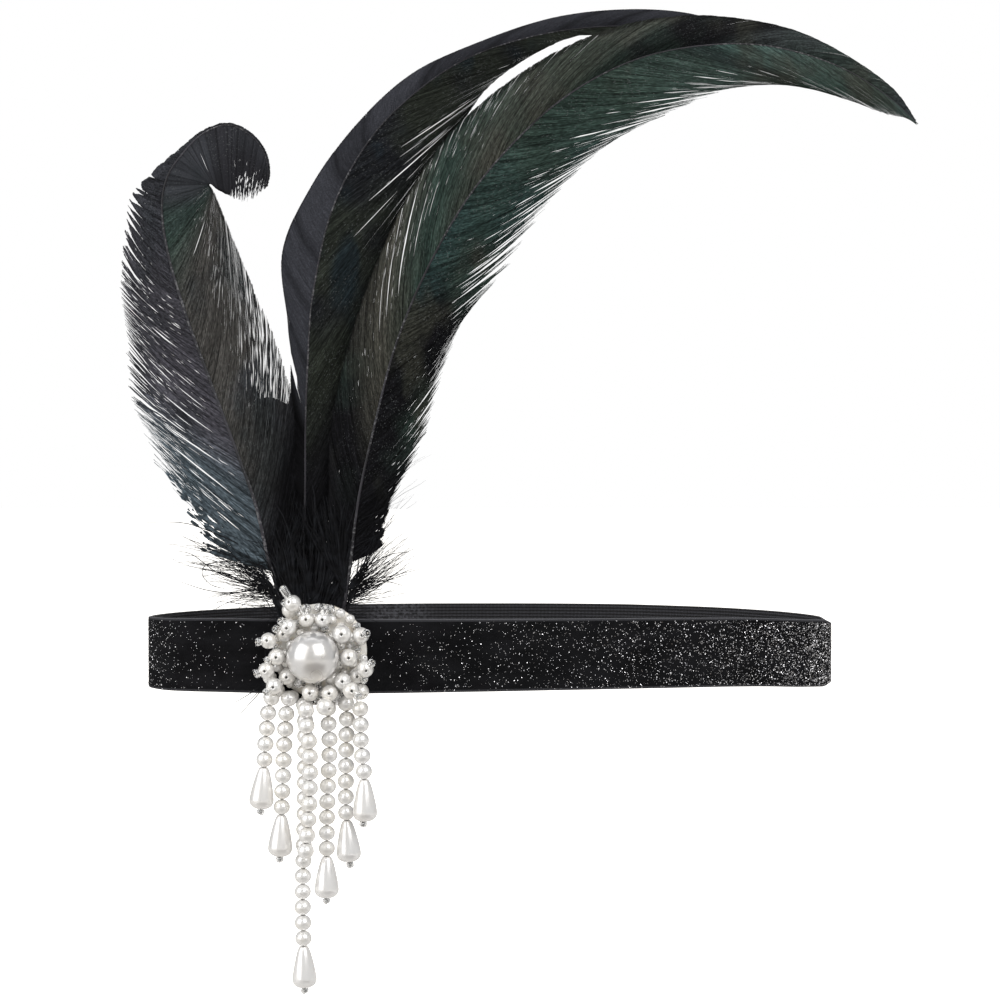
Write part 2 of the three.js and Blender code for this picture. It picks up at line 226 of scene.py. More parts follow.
def byShare(pairs, share):
    return np.interp(share, [a for a, _ in pairs], [b for _, b in pairs])


def makePiece(name, shapes, finishes, replaces=(), mapNames=(), smooth=True):
    # a shape is its points, groups of faces, the finish of all groups or of each, and a map for each name
    points, faces, finishOf, layers, count = [], [], [], [[] for _ in mapNames], 0
    for corners, groups, finishNumbers, *maps in shapes:
        corners = np.asarray(corners, float).reshape(-1, 3)
        points.append(corners)
        for group, number in zip(groups, np.broadcast_to(finishNumbers, len(groups)).tolist()):
            faces += (np.asarray(group) + count).tolist()
            finishOf += [number] * len(group)
        for layer, values in zip(layers, maps or [np.zeros((len(corners), 2))] * len(layers)):
            layer.append(np.asarray(values).reshape(-1, 2))
        count += len(corners)
    mesh = bpy.data.meshes.new(name)
    mesh.from_pydata((np.concatenate(points) * millimetre).tolist(), [], faces)
    for finish in finishes:
        mesh.materials.append(finish.material)
    mesh.polygons.foreach_set("material_index", finishOf)
    mesh.polygons.foreach_set("use_smooth", [smooth] * len(faces))
    pointOf = np.empty(len(mesh.loops), np.int32)
    mesh.loops.foreach_get("vertex_index", pointOf)
    for mapName, layer in zip(mapNames, layers):
        made = mesh.uv_layers.new(name=mapName)
        made.uv.foreach_set("vector", np.concatenate(layer)[pointOf].astype(np.float32).ravel())
    piece = addObject(name, mesh)
    if replaces:
        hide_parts(*replaces)
    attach(piece, "root")
    return piece


def addObject(name, data):
    made = bpy.data.objects.new(name, data)
    bpy.context.scene.collection.objects.link(made)
    return made


def gridFaces(rows, columns, aroundRows=False, aroundColumns=False):
    i = np.arange(rows if aroundRows else rows - 1)[:, None]
    j = np.arange(columns if aroundColumns else columns - 1)[None, :]
    down, right = (i + 1) % rows, (j + 1) % columns
    return np.stack([i * columns + j, i * columns + right, down * columns + right,
                     down * columns + j], axis=-1).reshape(-1, 4)


def tube(line, radii, sides, flat=1.0, index=0, wide=front):
    # a closed tube round a line, with its ends drawn together
    line = np.asarray(line, float)
    ahead = unit(np.gradient(line, axis=0))
    across = unit(np.cross(ahead, wide))
    out = np.cross(ahead, across)
    turn = np.arange(sides) * 2 * pi / sides
    radii = np.broadcast_to(radii, len(line))[:, None, None]
    ring = across[:, None] * np.cos(turn)[:, None] + out[:, None] * np.sin(turn)[:, None] * flat
    points = (line[:, None] + ring * radii).reshape(-1, 3)
    last = (len(line) - 1) * sides
    ends = [np.arange(sides)[::-1][None], last + np.arange(sides)[None]]
    return points, [gridFaces(len(line), sides, aroundColumns=True), *ends], index


def turned(profile, sides, centre, axis, index=0, turn=0.0):
    # a profile of radius and height, turned round an axis; its ends are on the axis or open
    profile = np.asarray(profile, float)
    axis = unit(np.asarray(axis, float))
    side = unit(np.cross(axis, upward if abs(axis[2]) < 0.9 else front))
    other = np.cross(axis, side)
    angle = np.arange(sides) * 2 * pi / sides + turn
    ring = side * np.cos(angle)[:, None] + other * np.sin(angle)[:, None]
    points = (centre + ring[None] * profile[:, :1, None] + axis * profile[:, 1:, None]).reshape(-1, 3)
    closed = bool(np.allclose(profile[0], profile[-1]))
    if closed:
        points = points[:-sides]
    faces = gridFaces(len(profile) - int(closed), sides, aroundRows=closed, aroundColumns=True)[:, ::-1]
    return points, [faces], index


def ballProfile(radius, rings, hole=0.0, long=1.0):
    # from one pole to the other; a hole turns in at both poles
    start = np.arcsin(hole / radius) if hole else 1e-3
    angle = np.linspace(start, pi - start, rings)
    arc = [(radius * sin(a), -radius * long * cos(a)) for a in angle]
    if not hole:
        return arc
    soft, deep = 0.12 * radius, 0.5 * radius
    low, high = arc[0][1], arc[-1][1]
    return [(hole * 0.75, low + deep), (hole * 0.8, low + soft), *arc, (hole * 0.8, high - soft),
            (hole * 0.75, high - deep)]


# finishes

print("finishes")


def grainFinish(name, grain, stops, roughness, bump=None, **constants):
    # one noise of a scale, detail and roughness gives the colour, the roughness and the relief
    finish = Finish(name, **constants)
    grain = finish.noise(finish.place(), *grain)
    finish.feed(baseColor=grain.ramp(stops), roughness=grain.spread(*roughness))
    if bump:
        finish.bump(grain, *bump)
    return finish


def featherFinish(name, leftTints, rightTints, patches, roughness, leftPatches=0.7, leftStreaks=1.0,
                  rightCalm=0.0):
    # the map "vane" runs along the shaft in U and from the left edge to the right edge in V; the map "lock"
    # runs across each lock of barbs in U and holds a number for each lock in V
    finish = Finish(name, metallic=0.25, specularIorLevel=0.05)
    along, across = finish.map("vane")
    lockAcross, lockNumber = finish.map("lock")
    rightSide = across > 0.5
    fromShaft = abs(across - 0.5) * 2.0
    tint = finish.mix(rightSide, along.ramp(leftTints), along.ramp(rightTints))
    place = finish.place()
    free = along.spread(0.2, 0.34) * (rightSide * (1.0 - leftPatches) + leftPatches)
    large = finish.noise(place, 28.0, 2.0, 0.5).spread(0.45, 0.62)
    tint = finish.mix(large * free * 0.8, tint, patches[0])
    small = finish.noise(place, 47.0, 2.0, 0.5, (1.3, 1, 0.7)).spread(0.52, 0.68)
    tint = finish.mix(small * free * 0.7, tint, patches[1])
    # one tone for each barb, painted highlight bars across the barbs where barbules catch the light, and a few
    # painted glints as bright specks
    streak = finish.noise(finish.point(along * 900.0, fromShaft * 3.0, rightSide * 7.0), 1.0, 2.0, 0.6)
    fine = finish.noise(finish.point(along * 2400.0, fromShaft * 26.0, rightSide * 7.0), 1.0, 1.0, 0.5)
    glint = finish.noise(finish.point(along * 1500.0, fromShaft * 60.0, rightSide * 5.0), 1.0, 0.0, 0.5)
    shade = streak.spread(0.25, 0.8, 0.4, 1.8) * fine.spread(0.3, 0.75, 0.6, 1.7)
    shade = (shade - 1.0) * (rightSide * (1.0 - leftStreaks) + leftStreaks) + 1.0
    shade = (shade - 1.0) * (1.0 - along.spread(0.5, 0.6) * rightSide * rightCalm) + 1.0
    # painted shade: darker towards the borders of each lock, where the locks tuck under each other; each lock
    # also gets a random tone of its own
    shade = shade * (1.15 - abs(lockAcross - 0.5).spread(0.3, 0.5) * 0.45) * (lockNumber * 0.4 + 0.8)
    shade = shade * (1.0 - fromShaft.spread(0.93, 0.99) * 0.6)
    # painted glints: sparse bright specks mixed into the barbs' colour
    paintedGlints = glint.spread(0.66, 0.78) * finish.noise(place, 90.0, 1.0, 0.5).spread(0.3, 0.6) * free
    finish.feed(baseColor=finish.mix(paintedGlints * 0.5, finish.shaded(tint, shade), (0.13, 0.14, 0.14)),
                roughness=streak.spread(0.2, 0.8, roughness - 0.1, roughness + 0.14))
    return finish


slate, violetGrey, blueGrey = (0.042, 0.042, 0.052), (0.054, 0.052, 0.062), (0.060, 0.077, 0.090)
deepGreen, teal, olive = (0.023, 0.038, 0.032), (0.019, 0.036, 0.035), (0.044, 0.043, 0.036)
dimSlate = (0.029, 0.030, 0.036)
nearBlack, brownGrey, smoke = (0.0045, 0.0045, 0.0054), (0.048, 0.046, 0.043), (0.023, 0.023, 0.027)

leftFinish = featherFinish(
    "feather left, slate and green",
    [(0.1, nearBlack), (0.21, blueGrey), (0.27, blueGrey), (0.36, violetGrey), (0.44, (0.040, 0.039, 0.046)),
     (0.52, (0.026, 0.027, 0.032)), (0.58, (0.019, 0.019, 0.023)), (0.68, (0.018, 0.018, 0.021))],
    [(0.1, nearBlack), (0.22, nearBlack), (0.36, brownGrey), (0.44, brownGrey), (0.52, deepGreen),
     (0.62, (0.016, 0.017, 0.019)), (0.72, smoke), (1.0, smoke)],
    [(0.036, 0.038, 0.044), (0.014, 0.018, 0.020)], 0.42, rightCalm=0.8)
middleFinish = featherFinish(
    "feather middle, slate and black",
    [(0.1, nearBlack), (0.30, nearBlack), (0.34, dimSlate), (0.75, dimSlate), (1.0, nearBlack)],
    [(0.1, nearBlack), (0.25, nearBlack), (0.45, (0.010, 0.011, 0.013)), (0.75, nearBlack), (1.0, slate)],
    [(0.017, 0.020, 0.015), (0.008, 0.014, 0.019)], 0.45, leftPatches=0.0, leftStreaks=0.4)
rightFinish = featherFinish(
    "feather right, green and teal",
    [(0.16, nearBlack), (0.3, nearBlack), (0.38, olive), (0.47, deepGreen), (0.56, olive), (0.63, olive),
     (0.68, nearBlack), (0.76, nearBlack), (0.80, (0.025, 0.029, 0.030)), (1.0, (0.025, 0.029, 0.031))],
    [(0.16, nearBlack), (0.42, nearBlack), (0.50, teal), (0.60, deepGreen), (0.72, (0.028, 0.044, 0.038)),
     (0.755, (0.012, 0.018, 0.017)), (0.79, (0.040, 0.070, 0.062)), (0.87, (0.048, 0.066, 0.060)),
     (1.0, (0.034, 0.050, 0.045))],
    [(0.020, 0.032, 0.026), (0.028, 0.029, 0.023)], 0.4)

shaftFinish = Finish("feather shaft", specularIorLevel=0.35)
ringed = shaftFinish.noise(shaftFinish.place(), 60.0, 3.0, 0.6)
# painted glints: sparse bright specks along the shaft, mixed into its colour
glint = shaftFinish.noise(shaftFinish.place(), 1100.0, 1.0, 0.5).spread(0.52, 0.66)
glint = glint * shaftFinish.noise(shaftFinish.place(), 22.0, 1.0, 0.5).spread(0.44, 0.56)
horn = ringed.ramp([(0.3, (0.010, 0.010, 0.012)), (0.7, (0.036, 0.034, 0.042))])
shaftFinish.feed(baseColor=shaftFinish.mix(glint * 0.4, horn, (0.30, 0.30, 0.31)),
                 roughness=ringed.spread(0.3, 0.7, 0.28, 0.45))

downFinish = grainFinish(
    "feather down", (400.0, 1.0, 0.5), [(0.3, (0.004, 0.004, 0.005)), (0.75, (0.014, 0.015, 0.018))],
    (0.3, 0.7, 0.5, 0.7), specularIorLevel=0.1)

velvetFinish = Finish("glitter velvet", specularIorLevel=0.06)
place = velvetFinish.place()
_, height = velvetFinish.map("band")
pile = velvetFinish.noise(place, 1500.0, 3.0, 0.7)
crush = velvetFinish.noise(place, 60.0, 3.0, 0.6, (1, 1, 2.2))
selvedge = abs(height - 0.5).spread(0.462, 0.474)
cloth = crush.ramp([(0.3, (0.004, 0.004, 0.0046)), (0.7, (0.0105, 0.0105, 0.012))])
cloth = velvetFinish.mix(pile.spread(0.5, 0.8), cloth, (0.012, 0.012, 0.0135))
cloth = velvetFinish.mix(selvedge, cloth, (0.045, 0.045, 0.05))
piping = abs(height - 0.5).spread(0.488, 0.494)
velvetFinish.feed(baseColor=velvetFinish.mix(piping * 0.8, cloth, (0.13, 0.13, 0.14)),
                  roughness=pile.spread(0.3, 0.7, 0.75, 0.95))
velvetFinish.bump(pile * 0.6 + crush * 0.4, 0.55, 0.0004)

elasticFinish = Finish("woven elastic", sheenWeight=0.2, sheenRoughness=0.5, specularIorLevel=0.3)
around, height = elasticFinish.map("band")
ribs = (height * (2 * pi * 22.0)).sine()
knit = (around * (2 * pi * 640.0)).sine()
yarn = elasticFinish.noise(elasticFinish.place(), 900.0, 2.0, 0.6)
weave = ribs.spread(-1.0, 1.0) * 0.7 + knit.spread(-1.0, 1.0) * 0.15 + yarn * 0.25
# painted shade and highlight: the cloth's tone follows the rib relief, darker in the grooves and lighter on
# the ridges, over the yarn's own near-black
cloth = weave.ramp([(0.1, (0.003, 0.003, 0.004)), (0.55, (0.014, 0.014, 0.017)), (1.0, (0.04, 0.04, 0.048))])
across = elasticFinish.node("ShaderNodeSeparateXYZ", None, {0: elasticFinish.place()})["X"]
# painted sheen: lighter grey-lavender blotches beside the brooch, where the crushed pile catches the light
crushedPileSheen = across.spread(-0.048, -0.040) * (1.0 - across.spread(-0.030, -0.018))
crushedPileSheen = crushedPileSheen * elasticFinish.noise(elasticFinish.place(), 900.0, 3.0, 0.6).spread(0.4, 0.62) * 0.7
elasticFinish.feed(baseColor=elasticFinish.mix(crushedPileSheen, cloth, (0.10, 0.10, 0.115)),
                   roughness=weave.spread(0.0, 1.0, 0.8, 0.55))
elasticFinish.bump(weave, 0.8, 0.0003)

glitterFinish = grainFinish(
    "silver glitter", (700.0, 1.0, 0.5), [(0.35, (0.35, 0.35, 0.37)), (0.6, (0.95, 0.94, 0.95))],
    (0.35, 0.65, 0.3, 0.16), metallic=1.0)


def pearlFinish(name, colour, warm, cloud, roughness, metal):
    finish = Finish(name, metallic=metal, specularIorLevel=0.6, coatWeight=0.35, coatRoughness=0.16)
    place = finish.place()
    lustre = finish.noise(place, cloud, 2.0, 0.5)
    grain = finish.noise(place, cloud * 14, 2.0, 0.6)
    tint = finish.mix(lustre.spread(0.4, 0.65), colour, warm)
    finish.feed(baseColor=finish.mix(grain.spread(0.55, 0.8) * 0.35, tint, (0.97, 0.95, 0.93)),
                roughness=lustre.spread(0.35, 0.65, roughness - 0.03, roughness + 0.05))
    finish.bump(grain, 0.04, 0.0001)
    return finish


largePearlFinish = pearlFinish("large pearl", (0.79, 0.78, 0.775), (0.78, 0.745, 0.69), 70.0, 0.25, 0.6)
smallPearlFinish = pearlFinish("small pearls", (0.96, 0.95, 0.935), (0.95, 0.925, 0.88), 160.0, 0.2, 0.4)
dropFinish = pearlFinish("drop pearls", (0.96, 0.95, 0.94), (0.95, 0.93, 0.905), 90.0, 0.2, 0.4)

ivoryFinish = grainFinish(
    "pearly ivory base", (260.0, 4.0, 0.6), [(0.3, (0.84, 0.76, 0.64)), (0.6, (0.93, 0.91, 0.87))],
    (0.3, 0.7, 0.28, 0.45), (0.15, 0.0002), metallic=0.2, coatWeight=0.4, coatRoughness=0.15)
feltFinish = grainFinish(
    "black felt", (1200.0, 4.0, 0.7), [(0.35, (0.004, 0.004, 0.005)), (0.7, (0.012, 0.012, 0.014))],
    (0.3, 0.7, 0.85, 0.98), (0.6, 0.0004), specularIorLevel=0.05)
threadFinish = grainFinish(
    "beading thread", (2200.0, 1.0, 0.5), [(0.3, (0.62, 0.58, 0.50)), (0.7, (0.88, 0.86, 0.82))],
    (0.3, 0.7, 0.35, 0.6))
glassFinish = grainFinish(
    "clear glass", (900.0, 1.0, 0.5), [(0.3, (0.93, 0.94, 0.93)), (0.7, (0.99, 0.99, 0.99))],
    (0.3, 0.7, 0.02, 0.05), transmissionWeight=0.92, ior=1.5)

liningFinish = Finish("silver lining", metallic=0.4)
ringAt, _ = liningFinish.map("bead")
facet = liningFinish.noise(liningFinish.place(), 900.0, 1.0, 0.5)
# painted reflections: bright and dark bands along the silver lining stand in for what it mirrors
rings = (ringAt * 17.0 + facet).sine()
liningFinish.feed(baseColor=rings.ramp([(0.5, (0.95, 0.945, 0.94)), (0.68, (0.02, 0.02, 0.021))], False),
                  roughness=facet.spread(0.4, 0.6, 0.3, 0.18))

# the band

print("band")
band = {
    "height": 25.0, "wall": 1.6, "edgeRound": 0.5, "halfWidth": 119.0, "halfDepth": 36.0,
    "steps": 480, "faceRows": 18, "ripples": [(0.05, 23, 0), (0.04, 57, 1)],  # depth, waves and shift
    "flakes": 17000, "flakeRadius": (0.08, 0.18), "flakeTilt": 42, "flakeSides": 6,
    "flakeUps": (-0.48, 0.465), "flakeLift": 0.12, "flakesOnBack": 0.6, "seed": 11,
    # across, depth, rise and height, as shares of the half width, half depth and the band's height
    "rows": [
        (-0.993, -0.14, -0.045, 0.98), (-0.93, -0.52, -0.03, 0.99), (-0.76, -0.83, 0, 1),
        (-0.5, -0.97, 0, 1), (-0.22, -0.92, 0, 0.99), (0.17, -0.78, 0, 0.97), (0.5, -0.56, -0.01, 0.96),
        (0.76, -0.34, -0.03, 0.95), (0.93, -0.16, -0.07, 0.94), (1.00, 0.07, -0.09, 0.94),
        (0.95, 0.3, -0.06, 0.95), (0.76, 0.6, -0.02, 0.97), (0.42, 0.87, 0, 1), (0, 1.00, 0, 1),
        (-0.42, 0.87, 0, 1), (-0.76, 0.54, -0.02, 1), (-0.94, 0.2, -0.04, 0.99)],
    # how many flakes by the place across, in shares of the half width, on the front
    "flakeShares": [(-1, 0.22), (-0.93, 0.16), (-0.8, 0.07), (-0.3, 0.05), (-0.15, 0.22), (0.2, 0.30),
                    (0.5, 0.42), (1, 0.70)],
    "foldFrom": 0.975, "foldTo": 1.002, "foldLower": 0.09,  # the right fold, where the band is lower
}
bandRows = np.array(band["rows"])
loopLine = Spline(bandRows[:, :3] * [band["halfWidth"], band["halfDepth"], band["height"]], closed=True)


def bandAt(share, out, up):
    # a place on the band: out from the middle of its wall and up in shares of its height
    share = np.asarray(share, float)
    ahead = loopLine.at(share + 5e-4) - loopLine.at(share - 5e-4)
    ahead[..., 2] = 0
    ahead = unit(ahead)
    outward = np.stack([ahead[..., 1], -ahead[..., 0], np.zeros_like(share)], axis=-1)
    place = (share % 1.0) * len(bandRows)
    row = place.astype(int) % len(bandRows)
    kept = bandRows[row, 3] + (bandRows[(row + 1) % len(bandRows), 3] - bandRows[row, 3]) * (place % 1.0)
    fold = smoothStep(loopLine.at(share)[..., 0] / band["halfWidth"], band["foldFrom"], band["foldTo"])
    kept = kept - band["foldLower"] * fold
    up = np.asarray(up) * band["height"] * kept
    return loopLine.at(share) + outward * np.asarray(out)[..., None] + upward * up[..., None], outward, ahead


def makeBand():
    halfWall, halfHeight, edge = band["wall"] / 2, band["height"] / 2, band["edgeRound"]
    ups = np.linspace(-halfHeight + edge, halfHeight - edge, band["faceRows"])
    corner = [(halfWall - edge * (1 - cos(a)), halfHeight - edge * (1 - sin(a)))
              for a in np.linspace(0, pi / 2, 4)]
    outline = [(halfWall, up) for up in ups[:-1]] + corner + [(-out, up) for out, up in corner[::-1]]
    outline += [(-halfWall, up) for up in ups[::-1][1:-1]]
    outline += [(-out, -up) for out, up in corner] + [(out, -up) for out, up in corner[::-1]][:-1]
    outs, ups = np.array(outline).T
    shares = (np.arange(band["steps"]) / band["steps"])[:, None]
    out = outs + sum(deep * np.sin(shares * 2 * pi * waves + shift) for deep, waves, shift in band["ripples"])
    up = np.broadcast_to(ups / band["height"], out.shape)
    shares = np.broadcast_to(shares, out.shape)
    faces = gridFaces(*out.shape, aroundRows=True, aroundColumns=True)
    isInner = (out < 0).reshape(-1)[faces].all(axis=1)
    bandMap = np.stack([shares, up + 0.5], axis=-1)
    shape = bandAt(shares, out, up)[0], [faces[~isInner], faces[isInner]], [0, 1], bandMap
    return makePiece("bandVelvet", [shape], [velvetFinish, elasticFinish], ["band"], ["band"])


def makeGlitter():
    rng, draws, sides = np.random.default_rng(band["seed"]), band["flakes"] * 4, band["flakeSides"]
    share, up = rng.random(draws), rng.uniform(*band["flakeUps"], draws)
    middle = loopLine.at(share)
    onFront = middle[:, 1] < 0.07 * band["halfDepth"]
    wanted = byShare(band["flakeShares"], middle[:, 0] / band["halfWidth"])
    wanted = np.where(onFront, wanted, band["flakesOnBack"])
    clumps = 0.85 + 0.25 * np.sin(share * 190 + 3 * np.sin(up * 21)) * np.sin(up * 17 + share * 60)
    kept = rng.random(draws) < wanted * clumps
    share, up = share[kept][:band["flakes"]], up[kept][:band["flakes"]]
    count, tilt = len(share), radians(band["flakeTilt"])
    centre, outward, ahead = bandAt(share, np.full(count, band["wall"] / 2 + band["flakeLift"]), up)
    normal = unit(outward + np.tan(rng.uniform(-tilt, tilt, (count, 1))) * ahead
                  + np.tan(rng.uniform(-tilt, tilt, (count, 1))) * upward)
    side = unit(np.cross(normal, upward))
    other = np.cross(normal, side)
    radius = rng.uniform(*band["flakeRadius"], (count, 1, 1))
    turn = (rng.uniform(0, pi, (count, 1)) + np.arange(sides) * 2 * pi / sides)[..., None]
    points = centre[:, None] + (side[:, None] * np.cos(turn) + other[:, None] * np.sin(turn)) * radius
    faces = np.arange(count * sides).reshape(-1, sides)
    return makePiece("bandGlitter", [(points, [faces], 0)], [glitterFinish], smooth=False)


bandPiece = makeBand()
glitterPiece = makeGlitter()

# the feathers

print("feathers")
brooch = {
    "across": -57.8, "up": 1.4, "baseRadius": 17.7, "baseThickness": 3.0, "largeRadius": 8.6,
    "pearl": 5.17, "stem": 0.55, "hole": 0.5,
    "dome": {"across": 1.5, "up": 1.2, "radius": 15.6, "rise": 2.0},
    "backing": {"bevel": 0.7, "recess": 0.35}, "frontPearl": (4.0, 9.3, -16.2, 2.95),
    "filler": {"seed": 51, "gap": 0.08,  # passes are tries, radius and the highest place
               "passes": [(1500, 2.3, -7), (1500, 1.9, -6), (1500, 1.6, 20), (2500, 1.3, 20),
                          (2500, 1.0, 20)]},
    # how far the seed beads of some stalks lean, and which way
    "leans": {13: 0.5, 12: 1.0}, "seedTurns": {15: (0.6, 0.8), 7: (-1.0, -0.15), 8: (-1.0, -0.35)},
}
baseLow, baseHigh = (np.array(corner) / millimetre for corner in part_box("brooch_base"))
baseFront = baseLow[1]
quillDepth = baseHigh[1] + clearance + 1.1

# The rows are shares of a feather's height above the brooch: the shaft, the left edge and the right edge,
# each across and up, and the depth. The other tables are pairs of a place along the shaft and a value:
# sweep is how much further along a barb ends, reach how much of its length it keeps, dense how many barbs
# stay, scallop and pull how its locks round off and draw together, fray how ragged it is, and thin how much
# light it lets through. Slits are (along, from, to, width): gaps between barbs, and fine slits are
# (how many, along, from, length, width).
plainSide = {"bow": 0.15, "dense": [(0, 1)], "reach": [(0, 1)], "scallop": [(0, 0)], "thin": [(0, 0)],
             "slits": [], "fineSlits": []}
rightFeather = {
    "node": "feather_right", "name": "featherRight", "height": 204.0, "seed": 31, "vaneFrom": 0.105,
    "relief": [(0, 0.8), (0.6, 0.7), (0.7, 0.2), (1, 0.12)], "pitch": 0.34,
    "shaft": [(0, 1.0), (0.12, 0.6), (0.3, 0.42), (0.5, 0.33), (1, 0.15)],
    "rows": [
        (0.014, -0.02, 0.009, -0.02, 0.019, -0.02, 0), (0.047, 0.087, 0.042, 0.092, 0.053, 0.092, -0.001),
        (0.05, 0.106, 0.036, 0.129, 0.133, 0.1, -0.004), (0.056, 0.143, 0.023, 0.185, 0.147, 0.159, -0.008),
        (0.063, 0.201, 0.021, 0.283, 0.136, 0.25, -0.015),
        (0.073, 0.266, 0.025, 0.372, 0.172, 0.334, -0.02),
        (0.099, 0.38, 0.058, 0.517, 0.196, 0.418, -0.025), (0.13, 0.496, 0.106, 0.65, 0.238, 0.538, -0.029),
        (0.177, 0.611, 0.178, 0.789, 0.306, 0.621, -0.034),
        (0.247, 0.735, 0.264, 0.88, 0.377, 0.728, -0.034),
        (0.329, 0.833, 0.372, 0.959, 0.48, 0.828, -0.029), (0.411, 0.904, 0.48, 1.008, 0.583, 0.88, -0.025),
        (0.513, 0.959, 0.593, 1.034, 0.684, 0.919, -0.015), (0.624, 0.986, 0.692, 1.032, 0.786, 0.923, 0),
        (0.739, 0.988, 0.788, 1.013, 0.866, 0.904, 0.015),
        (0.855, 0.957, 0.882, 0.968, 0.934, 0.882, 0.029), (0.937, 0.911, 0.95, 0.92, 0.972, 0.875, 0.044),
        (0.988, 0.868, 0.987, 0.871, 0.987, 0.866, 0.054)],
    "left": {"sweep": [(0.1, 0), (0.25, 0.03), (0.4, 0.05), (0.7, 0.05), (1, 0)], "wave": 0.5,
             "reach": [(0.42, 1), (0.47, 1.05), (0.6, 1.05), (0.65, 1)],
             "fray": [(0.1, 0.1), (0.25, 0.04), (0.4, 0.03), (0.6, 0.02), (0.7, 0.006), (1, 0.006)],
             "lock": (3.0, 9.0), "pull": [(0, 0.02), (0.4, 0.05), (0.6, 0.02), (1, 0)],
             "thin": [(0, 0), (0.3, 0.05), (0.4, 0.2), (0.5, 0.12), (0.56, 0)],
             "slits": [(0.42, 0.25, 0.97, 0.75), (0.445, 0.2, 0.85, 0.45), (0.395, 0.3, 0.85, 0.6)],
             "fineSlits": [(70, (0.3, 0.5), (0.25, 0.8), (0.05, 0.14), 0.2),
                           (5, (0.3, 0.56), (0.3, 0.6), (0.2, 0.4), 0.2)]},
    "right": {"sweep": [(0.1, 0), (0.2, 0.03), (0.35, 0.06), (0.6, 0.07), (0.85, 0.05), (1, 0)], "wave": 1.0,
              "reach": [(0, 1), (0.17, 0.55), (0.2, 0.68), (0.24, 0.88), (0.28, 1)],
              "dense": [(0.1, 0.12), (0.16, 0.2), (0.175, 0.4), (0.185, 1)],
              "fray": [(0.1, 0.6), (0.2, 0.3), (0.3, 0.16), (0.44, 0.24), (0.62, 0.22), (0.72, 0.1),
                       (0.85, 0.05), (1, 0.02)],
              "lock": (2.0, 8.0),
              "pull": [(0, 0.2), (0.3, 0.5), (0.42, 0.85), (0.64, 0.85), (0.72, 0.3), (1, 0.02)],
              "thin": [(0.1, 0.3), (0.2, 0.1), (0.36, 0.1), (0.45, 0.15), (0.6, 0.15), (0.7, 0.1),
                       (0.8, 0.03), (1, 0)],
              "slits": [(0.43, 0.7, 1.05, 1.2), (0.455, 0.62, 1.05, 1.5), (0.485, 0.66, 1.05, 1.3),
                        (0.51, 0.6, 1.05, 1.6), (0.54, 0.64, 1.05, 1.4), (0.57, 0.6, 1.05, 1.7),
                        (0.6, 0.66, 1.05, 1.5), (0.635, 0.7, 1.05, 1.2)],
              "fineSlits": [(10, (0.2, 0.42), (0.5, 0.8), (0.1, 0.2), 0.3),
                            (60, (0.42, 0.78), (0.4, 0.8), (0.1, 0.3), 0.45),
                            (60, (0.2, 0.7), (0.7, 0.98), (0.08, 0.25), 0.45)]},
}
